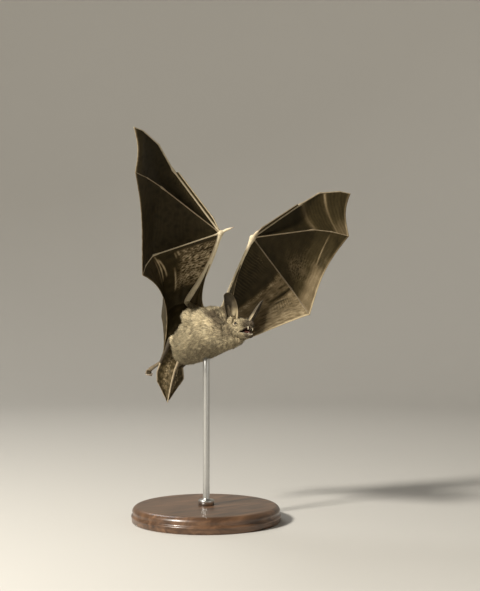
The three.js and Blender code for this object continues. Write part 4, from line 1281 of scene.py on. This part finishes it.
def fur_material(name):
    """Pale tips over dark roots, paler on the underside"""
    made, tree, shader = material(name, (0.5, 0.4, 0.3), 0.75, Specular_IOR_Level=0.2)
    tip = attribute(tree, "tip")
    color = mix(tree, attribute(tree, "pale"), mix(tree, tip, *BACK_FUR), mix(tree, tip, *BELLY_FUR))
    lock = add(tree, 0.4, multiply(tree, attribute(tree, "tone"), 1.2))
    shade = node(tree, "CombineColor", {0: lock, 1: lock, 2: lock}).outputs[0]
    paint(tree, shader, mix(tree, 1.0, color, shade, "MULTIPLY"))
    return made


fur = fur_material("fur")
bare_skin = toned("bare_skin", (0.4, 0.3, 0.2), 0.55, 300, 0.3, [
    (0.0, (0.05, 0.036, 0.02)), (0.5, (0.28, 0.215, 0.13)), (1.0, (0.78, 0.67, 0.46))], 2500, 0.0002)
ear_skin = toned("ear_skin", (0.2, 0.15, 0.1), 0.6, 400, 0.2, [
    (0.0, (0.016, 0.011, 0.005)), (0.5, (0.084, 0.062, 0.031)), (1.0, (0.4, 0.32, 0.19))], 2500, 0.00015)
skin_materials = [bare_skin, face_material(), membrane_material(), ear_skin, fur_material("pelt")]
skin = make_object("skin", skin_parts, skin_materials, values=("tone", "pale", "wet", "dark", "tip"))

# ---------------------------------------------------------------- coat

LOCK_STEPS = (0, 0.5, 1)  # shares of a lock's length where it has three corners or its tip
LOCK_POINTS = 3 * (len(LOCK_STEPS) - 1) + 1
BODY_LOCKS = 100000
HEAD_LOCKS = 44000
PIECE_LOCKS = 19000  # the most in one mesh
MOUND_FOOT = np.array([EAR["base"][0] - 0.6, -EAR["base"][1] - 0.8, EAR["base"][2] - 1.2])
HEAD_HAIR = [(-9, 4.5), (-4, 3.6), (1, 2.8), (4, 2.1), (6.5, 1.5), (9, 1.1), (15, 0.75)]  # forward, length


def triangles_of(quads):
    return np.concatenate([quads[:, [0, 1, 2]], quads[:, [0, 2, 3]]])


def scatter(points, quads, normals, count, density):
    """Roots at random over a surface: places, normals"""
    faces = triangles_of(quads)
    a, b, c = (points[faces[:, k]] for k in range(3))
    area = np.linalg.norm(np.cross(b - a, c - a), axis=1) / 2
    weight = area * density[faces].mean(1)
    pick = np.searchsorted(np.cumsum(weight) / weight.sum(), draw.random(count))
    u, v = draw.random(count), draw.random(count)
    over = u + v > 1
    u[over], v[over] = 1 - u[over], 1 - v[over]
    corner = faces[pick]
    u, v = u[:, None], v[:, None]
    place = points[corner[:, 0]] * (1 - u - v) + points[corner[:, 1]] * u + points[corner[:, 2]] * v
    lean = normals[corner[:, 0]] * (1 - u - v) + normals[corner[:, 1]] * u + normals[corner[:, 2]] * v
    return place, unit(lean)


def clumps(roots, size):
    """For each root, the number of the root that leads its clump"""
    leaders = draw.choice(len(roots), max(int(len(roots) / size), 1), replace=False)
    tree = KDTree(len(leaders))
    for number, leader in enumerate(leaders):
        tree.insert(roots[leader], number)
    tree.balance()
    return np.array([leaders[tree.find(root)[1]] for root in roots])


def grow_locks(roots, normals, flows, heights, lengths, widths, own, spread):
    """Points of the locks: for each, three corners at each step but the last, and its tip"""
    count = len(roots)
    flows = unit(flows - normals * np.sum(flows * normals, axis=1, keepdims=True))
    sideways = np.cross(normals, flows)
    swing = 0.16 * waves(roots, 7, 25) + draw.normal(0, 0.5 * spread, count)[own]
    swing = swing + draw.normal(0, 0.6 * spread, count)
    flows = unit(flows + sideways * swing[:, None])
    sideways = np.cross(normals, flows)
    mean_lift = np.arcsin(np.clip(heights / lengths, 0.05, 0.95))
    curve = np.minimum(mean_lift * 0.55, 0.5)
    spine = [roots - normals * (0.05 + 0.22 * heights)[:, None]]
    for low, high in zip(LOCK_STEPS, LOCK_STEPS[1:]):
        middle = (low + high) / 2
        lift = mean_lift + curve * (1 - 2 * middle)
        direction = np.cos(lift)[:, None] * flows + np.sin(lift)[:, None] * normals
        spine.append(spine[-1] + direction * (lengths * (high - low))[:, None])
    spine[1] = spine[1] + sideways * (draw.normal(0, 0.06, count) * lengths)[:, None]
    shift = spine[-1][own] - spine[-1]
    far = np.linalg.norm(shift, axis=1, keepdims=True)
    shift = shift * np.minimum(1, 0.25 * lengths[:, None] / np.maximum(far, 1e-6))
    pull = draw.uniform(0.3, 0.95, count)[:, None]
    spine = [s + shift * pull * t ** 1.5 for s, t in zip(spine, LOCK_STEPS)]
    points = []
    for s, thick in zip(spine, (1.0, 0.8)):
        for k in range(3):
            angle = 2 * pi * k / 3 + 0.5
            offset = cos(angle) * sideways + 0.6 * sin(angle) * normals
            points.append(s + offset * (widths * thick)[:, None])
    points.append(spine[-1])
    return np.stack(points, 1)


def lock_faces():
    faces = [(0, 2, 1)]
    for k in range(3):
        n = (k + 1) % 3
        faces += [(k, n, 3 + n), (k, 3 + n, 3 + k), (3 + k, 3 + n, 6)]
    return np.array(faces)


LOCK_FACES = lock_faces()
LOCK_TIP = np.array([0, 0, 0, 0.5, 0.5, 0.5, 1.0])
UV_PATCH = 0.003  # size of a lock's patch on the UV map
LOCK_UV = np.array([(k % 3 / 2, k // 3 / 2) for k in range(6)] + [(0.5, 1)]) * UV_PATCH - UV_PATCH / 2


def unwrapped(roots, left, width, front, length):
    """Places on the UV map: along a body in a strip of the map, and around it"""
    around = np.arctan2(roots[:, 2], roots[:, 0]) / (2 * pi) + 0.5
    return np.stack([left + width * (roots[:, 1] + front) / length, 0.02 + 0.96 * around], 1)


def coat_pieces(name, order, points, island, pale, tone):
    """Mesh objects of a limited number of locks each, from one end of the body to the other"""
    points, island, pale, tone = points[order], island[order], pale[order], tone[order]
    made = []
    for number, start in enumerate(range(0, len(points), PIECE_LOCKS)):
        some = slice(start, min(start + PIECE_LOCKS, len(points)))
        count = some.stop - some.start
        faces = (LOCK_FACES[None] + LOCK_POINTS * np.arange(count)[:, None, None]).reshape(-1, 3)
        uv = np.repeat(island[some], LOCK_POINTS, axis=0) + np.tile(LOCK_UV, (count, 1))
        part = Part(points[some].reshape(-1, 3), faces, 0, tip=np.tile(LOCK_TIP, count),
                    pale=np.repeat(pale[some], LOCK_POINTS), tone=np.repeat(tone[some], LOCK_POINTS))
        made.append(make_object(f"{name}_{number + 1}", [part], [fur], values=("tip", "pale", "tone"),
                                uv=uv[faces.ravel()]))
    return made


draw = np.random.default_rng(11)
fewer = 1


def body_coat():
    """Locks that lie backwards along the trunk and out along the upper arms and thighs"""
    density = 1 - 0.97 * body_bare
    roots, normals = scatter(body_points, body_quads, body_normals, int(BODY_LOCKS * fewer), density)
    keep = head_distance(into_head(roots)) > -1.5
    roots, normals = roots[keep], normals[keep]
    count = len(roots)
    depth = np.clip(-body_distance(roots, coat=True), 0.4, 5.4)
    flows = np.tile(at(0, -1, 0), (count, 1))
    for name in SIDES:
        wing, leg = wings[name], legs[name]
        for start, end in ((wing["shoulder"], wing["elbow"]), (leg["hip"], leg["knee"])):
            near, share = limb_distance(roots, start, end)
            weight = (1 - step(near, 5, 8)) * step(share, 0.25, 0.6)
            flows = flows + weight[:, None] * unit(end - start) * 2
    own = clumps(roots, 16 * fewer)
    proud = draw.uniform(0.9, 1.04, count)[own]
    height = depth * proud * draw.uniform(0.9, 1.05, count)
    stray = draw.random(count) < 0.03
    height = np.where(stray, depth * 1.12, height)
    length = height * draw.uniform(1.4, 1.75, count)
    width = (0.1 + 0.022 * depth) * np.where(stray, 0.6, 1) * 1
    points = grow_locks(roots, normals, flows, height, length, width, own, 0.3)
    shade = 0.2 * draw.normal(size=count)[own] + 0.22 * draw.normal(size=count)
    pale, dark = markings(points[:, 3:].mean(axis=1))
    # Darker towards the bottom: painted shade under the belly, with darker-rooted fur there. The dark of the
    # markings holds the painted shade of the shoulder patch and neck band.
    low = step(-points[:, -1, 2], 9, 17)
    tone = 0.45 + 0.1 * waves(roots, 3.0, 21) + 0.08 * waves(roots, 9, 24) + shade - 0.6 * dark - 0.25 * low
    tone = np.clip(tone, 0, 1)
    order = np.argsort(roots[:, 1] + 0.001 * roots[:, 2])
    return coat_pieces("coat_body", order, points, unwrapped(roots, 0.02, 0.6, 34, 90), pale, tone)


def head_coat():
    """Shorter locks that lie backwards, thinnest on the muzzle and tufted at the ears' feet"""
    bare = np.maximum(wet, spot(head_points, NOSE, 0, 1.6))
    ear_foot = spot(mirrored(head_points), MOUND_FOOT, 0, 3.2)
    tufted = 0.5 + 0.6 * step(-head_points[:, 1], -6, 6) + 0.4 * ear_foot
    density = np.clip(1 - 1.3 * bare - 1.2 * lid, 0, 1) * step(mouth_distance(head_points), 0.15, 0.4)
    density = density * (1 - step(head_points[:, 1], 6.2, 8)) * tufted
    roots, normals = scatter(head_points, head_quads, head_normals, int(HEAD_LOCKS * fewer), density)
    count = len(roots)
    own = clumps(roots, 12 * fewer)
    ahead = -roots[:, 1]
    foot = spot(mirrored(roots), MOUND_FOOT, 0, 3.2)
    depth = np.clip(-head_distance(roots, coat=True), 0.1, 5)
    flows = np.tile(at(0, -1, 0), (count, 1)) + 0.25 * normals * np.array([1, 0, 1])
    proud = draw.uniform(0.84, 1.06, count)[own]
    height = depth * proud * draw.uniform(0.85, 1.1, count)
    length = looked_up(ahead, HEAD_HAIR) * draw.uniform(0.75, 1.15, count) * (1 + 0.5 * foot)
    length = np.maximum(length, height * 1.35)
    height = np.maximum(height, 0.3 * length)
    width = (0.06 + 0.022 * length) * 1
    points = grow_locks(roots, normals, flows, height, length, width, own, 0.28)
    shade = 0.22 * draw.normal(size=count)[own] + 0.12 * draw.normal(size=count)
    # Darker towards the front of the muzzle: its own darker fur with painted shade.
    tone = 0.45 + 0.18 * waves(roots, 2.5, 22) + shade + 0.4 * foot - 0.5 * step(ahead, 11.5, 14)
    tone = np.clip(tone, 0, 1)
    points = from_head(points.reshape(-1, 3)).reshape(count, LOCK_POINTS, 3)
    # Less pale on the crown: darker fur with painted shade between the ears. Less pale and darker on the
    # front of the muzzle: its own dark colour with painted shade. The dark of the markings holds painted
    # shade on the neck.
    crown = step(roots[:, 2], 1.5, 5) * (1 - step(ahead, 8, 12))
    muzzle_front = step(ahead, 8.5, 12)
    eye_ring = spot(mirrored(roots), EYE_PLACE + (0.4, 0, 0), 2.5, 0.8)
    pale, dark = markings(points[:, 3:].mean(axis=1))
    pale = np.maximum(pale * (1 - 0.7 * crown) * (1 - 0.85 * muzzle_front), foot)
    pale = np.maximum(pale, 0.9 * eye_ring)
    tone = np.clip(tone - 0.3 * dark - 0.25 * muzzle_front + 0.25 * eye_ring, 0, 1)
    order = np.argsort(roots[:, 1])
    return coat_pieces("coat_head", order, points, unwrapped(roots, 0.66, 0.32, 17, 27), pale, tone)


coat = body_coat() + head_coat()

# ---------------------------------------------------------------- eyes, teeth, tongue, claws


def round_part(centre, radius, rings=28, sides=40):
    angles = np.linspace(0, pi, rings)
    path = centre + np.stack([0 * angles, 0 * angles, -np.cos(angles) * radius], 1)
    return tube(path[1:-1], radius * np.sin(angles[1:-1]), sides=sides, slot=0, up=(1, 0, 0))


eye_wet = mottled("eye_wet", (0.012, 0.008, 0.006), 0.06, 700, (0.006, 0.004, 0.003), (0.02, 0.013, 0.009),
                  Coat_Weight=0.15, Coat_Roughness=0.03, Specular_IOR_Level=0.2)[0]
enamel = mottled("tooth_enamel", (0.8, 0.74, 0.6), 0.25, 1200, (0.55, 0.46, 0.31), (0.72, 0.65, 0.5))[0]
horn = mottled("claw_horn", (0.2, 0.15, 0.1), 0.35, 900, (0.16, 0.11, 0.07), (0.5, 0.41, 0.3))[0]
flesh, flesh_tree, flesh_shader, flesh_speck = mottled(
    "tongue_flesh", (0.4, 0.14, 0.1), 0.3, 2200, (0.055, 0.018, 0.013), (0.1, 0.036, 0.026))
bumped(flesh_tree, flesh_shader, flesh_speck, 0.5, 0.0002)

eyes = {}
for name, side in SIDES.items():
    eyes[name] = make_object(f"eyeball_{name}", [round_part(in_head(*EYE, side), EYE_RADIUS)], [eye_wet])

# Each row of teeth grows from its gum: up is which way the teeth point. A canine has (out, forward, length,
# radius). The cheek teeth go back from (out, forward), each a step back and outwards, with two cusps.
TEETH = [
    {"place": in_head, "up": -1, "gum": -5.5, "canine": (1.75, 13.7, 2.9, 0.46),
     "cheek": (2.3, 11.9), "step": (1.45, 0.38), "count": 5, "length": 1.0},
    {"place": in_jaw, "up": 1, "gum": 0.3, "canine": (1.2, 9.9, 1.6, 0.34),
     "cheek": (1.75, 8.3), "step": (1.35, 0.38), "count": 4, "length": 0.8},
]
CUSPS = [(0.3, 0, 1.0), (-0.35, 0.3, 0.8)]  # forward, inward, size
CHEEK_RADIUS = 0.34
CANINE_HOOK = 0.12
INCISORS = {"count": 2, "ahead": 2.5, "length": 0.9, "radius": 0.22}


def tooth(row, side, out, forward, length, radius, hook=0.0):
    """A pointed tooth, which may curve a little backwards"""
    share = np.linspace(0, 1, 9)
    height = row["gum"] + row["up"] * length * share
    path = [row["place"](out + 0.12 * s, forward - hook * s ** 2 * length, up, side)
            for s, up in zip(share, height)]
    return tube(path, radius * (1 - share ** 1.6) + 0.06, sides=9, slot=0)


def row_of_teeth(row, side):
    made = [tooth(row, side, *row["canine"], CANINE_HOOK)]
    (out, forward), (back, widen) = row["cheek"], row["step"]
    for i in range(row["count"]):
        for ahead, inward, size in CUSPS:
            made.append(tooth(row, side, out + i * widen - inward, forward - i * back + ahead,
                              row["length"] * size, CHEEK_RADIUS))
    for i in range(INCISORS["count"]):
        made.append(tooth(row, side, 0.3 + 0.5 * i, forward + INCISORS["ahead"] - 0.25 * i,
                          INCISORS["length"], INCISORS["radius"]))
    return made


tooth_parts = [one for side in SIDES.values() for row in TEETH for one in row_of_teeth(row, side)]
teeth = make_object("teeth", tooth_parts, [enamel])


def tongue_part():
    share = np.linspace(0, 1, 24)
    path = [in_jaw(0, TONGUE["start"] + TONGUE["length"] * s, TONGUE["over"] + 0.5 * s * s) for s in share]
    radii = TONGUE["height"] * (0.35 + 0.65 * np.sin(pi * np.clip(share, 0.02, 0.98)) ** 0.5)
    return tube(path, radii, sides=20, slot=0, flat=TONGUE["flat"], up=in_head(1, 0, 0) - head_origin)


tongue = make_object("tongue_soft", [tongue_part()], [flesh])
claws = make_object("claws", claw_parts, [horn])

# ---------------------------------------------------------------- stand


def stretched(tree, scale):
    """Object coordinates scaled apart along the axes"""
    vector = node(tree, "TexCoord").outputs["Object"]
    return node(tree, "Mapping", {"Vector": vector, "Scale": scale}).outputs[0]


def wood_material():
    made, tree, shader = material("dark_wood", (0.2, 0.1, 0.05), 0.35, Coat_Weight=0.3, Coat_Roughness=0.15)
    rings = noise(tree, 22.0, 8.0, stretched(tree, (1, 6, 6)), Distortion=1.2)
    paint(tree, shader, ramp(tree, rings, [
        (0.3, (0.045, 0.022, 0.011)), (0.5, (0.11, 0.056, 0.028)), (0.7, (0.19, 0.10, 0.052))]))
    bumped(tree, shader, rings, 0.15, 0.0004)
    return made


def steel_material():
    made, tree, shader = material("brushed_steel", (0.62, 0.62, 0.6), 0.3, Metallic=1.0)
    grain = noise(tree, 4000.0, 2.0, stretched(tree, (1, 1, 0.05)))
    paint(tree, shader, mix(tree, grain, (0.5, 0.5, 0.49), (0.7, 0.7, 0.68)))
    bumped(tree, shader, grain, 0.2, 0.00005)
    return made


def turned_rings(profile, sides):
    """Points of a turned piece from [radius, height] pairs in metres, ring by ring"""
    profile = np.array(profile, float)
    angle = np.arange(sides) / sides * 2 * pi
    ring = np.stack([np.cos(angle), np.sin(angle), 0 * angle], 1)
    points = profile[:, :1, None] * ring + profile[:, 1, None, None] * np.array([0, 0, 1])
    return points.reshape(-1, 3)


def turned(name, profile, sides, made_of):
    """A turned piece, closed on its axis at both ends"""
    points = turned_rings(profile, sides)
    ends = [(0, 0, profile[0][1]), (0, 0, profile[-1][1])]
    caps = end_caps(len(profile), sides, len(points), len(points) + 1)
    part = Part(np.concatenate([points, ends]), [grid_faces(len(profile), sides, closed=True), caps])
    return make_object(name, [part], [made_of], place=lambda p: p)


def arc(centre, radius, start, end, count):
    """Points [radius, height] of an arc from one angle to another, in degrees"""
    angles = np.radians(np.linspace(start, end, count))
    return [(centre[0] + radius * cos(a), centre[1] + radius * sin(a)) for a in angles]


def base_profile():
    """A foot, a bead, a step and a rounded edge, in metres"""
    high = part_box("stand_base")[1]
    radius, top = high.y, high.z
    profile = [(radius - 0.0012, 0), (radius - 0.0006, 0.0006)]
    profile += [(radius - 0.0004, 0.0025)] + arc((radius - 0.0012, 0.0045), 0.0012, -50, 60, 7)
    profile += [(radius - 0.0016, 0.0062)] + arc((radius - 0.0052, top - 0.0045), 0.0045, 10, 90, 12)
    return profile + [(radius - 0.010, top), (0.02, top), (0.006, top)]


def rod_profile():
    """A round foot, a hollow above it and a straight shaft with a bevelled top, in metres"""
    box_low, box_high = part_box("stand_rod")
    shaft, foot = 0.0025, box_high.x
    low, high = box_low.z - 0.00035, box_high.z
    profile = [(foot, low), (foot, low + 0.0028)] + arc((foot - 0.0009, low + 0.0032), 0.0009, 0, 90, 6)
    profile += [(shaft + 0.0012, low + 0.0041)] + arc((shaft + 0.0012, low + 0.0053), 0.0012, 270, 180, 6)
    profile += [(shaft, low + 0.02), (shaft, high - 0.02)]
    return profile + [(shaft, high - 0.0008), (shaft - 0.0008, high)]


base = turned("base_turned", base_profile(), 128, wood_material())
rod = turned("rod_steel", rod_profile(), 48, steel_material())

# ---------------------------------------------------------------- the frame

FLESH_NODES = [node_name for node_name in frame["nodes"]
               if not node_name.startswith(("eye_", "stand_", "tongue"))]
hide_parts(*FLESH_NODES)
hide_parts("tongue")
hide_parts("eye_left")
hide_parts("eye_right")
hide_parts("stand_base")
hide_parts("stand_rod")
for piece, slot in ((skin, "membrane"), (teeth, "face"), (claws, "skin"), (tongue, "tongue"),
                    (eyes["left"], "eye"), (eyes["right"], "eye"), (base, "stand_wood"), (rod, "stand_steel"),
                    *((piece, "coat") for piece in coat)):
    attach(piece, "root")

# ---------------------------------------------------------------- floor, light and camera


def bowl(inner=1.0, sweep=0.8, height=2.4, sides=96):
    """A round floor that sweeps up into a wall, in metres"""
    profile = [(0.05, 0), (inner * 0.5, 0), (inner, 0)]
    profile += [(inner + sweep * sin(a), sweep * (1 - cos(a))) for a in np.linspace(0.1, pi / 2, 14)]
    profile += [(inner + sweep, height)]
    points = turned_rings(profile, sides)
    around = np.arange(sides)
    cap = np.stack([around, (around + 1) % sides, np.full(sides, len(points))], 1)
    part = Part(np.concatenate([points, [(0, 0, 0)]]), [grid_faces(len(profile), sides, closed=True), cap])
    paper = (0.62, 0.6, 0.56)
    made_of = mottled("floor_paper", paper, 0.9, 3.0, paper, tuple(c * 0.97 for c in paper))[0]
    return make_object("floor", [part], [made_of], place=lambda p: p)


floor = bowl()

CAMERA_AZIMUTH = radians(-36)
CAMERA_DISTANCE = 0.9
CENTRE = Vector((0.0135, -0.0243, 0.1684))  # what the camera looks at
FILM = 36
SPREAD = 591 / 1220  # height of the picture over its distance
back = Vector((sin(CAMERA_AZIMUTH), -cos(CAMERA_AZIMUTH), 0))
right = Vector((cos(CAMERA_AZIMUTH), sin(CAMERA_AZIMUTH), 0))
up = Vector((0, 0, 1))
LAMPS = [  # name, back, right and up from the centre, size, power, colour
    ("key", 0.6, -0.79, 0.6, 0.2, 22, (1, 0.96, 0.88)),
    ("fill", 0.7, 0.9, 0.1, 0.8, 0.7, (1, 1, 1)),
    ("rim", -0.8, -0.5, 0.9, 0.5, 3, (1, 1, 1)),
]


def stand_at(name, data, place, direction):
    """A camera or lamp at a place, looking along a direction"""
    made = bpy.data.objects.new(name, data)
    bpy.context.scene.collection.objects.link(made)
    made.location = place
    made.rotation_euler = direction.to_track_quat("-Z", "Y").to_euler()
    return made


lens = bpy.data.cameras.new("camera")
lens.lens = FILM / SPREAD
lens.sensor_width = FILM
lens.sensor_fit = "AUTO"
lens.clip_start = 0.01
bpy.context.scene.camera = stand_at("camera", lens, CENTRE + back * CAMERA_DISTANCE, -back)

for name, behind, aside, above, size, power, color in LAMPS:
    lamp = bpy.data.lights.new(name, "AREA")
    lamp.shape = "DISK"
    lamp.size = size
    lamp.energy = power
    lamp.color = color
    offset = back * behind + right * aside + up * above
    stand_at(name, lamp, CENTRE + offset, -offset)

world = bpy.data.worlds.new("studio")
bpy.context.scene.world = world
world.use_nodes = True
sky = world.node_tree.nodes["Background"].inputs
sky["Color"].default_value = (1.0, 0.98, 0.94, 1)
sky["Strength"].default_value = 0.14
bpy.context.scene.view_settings.view_transform = "Standard"
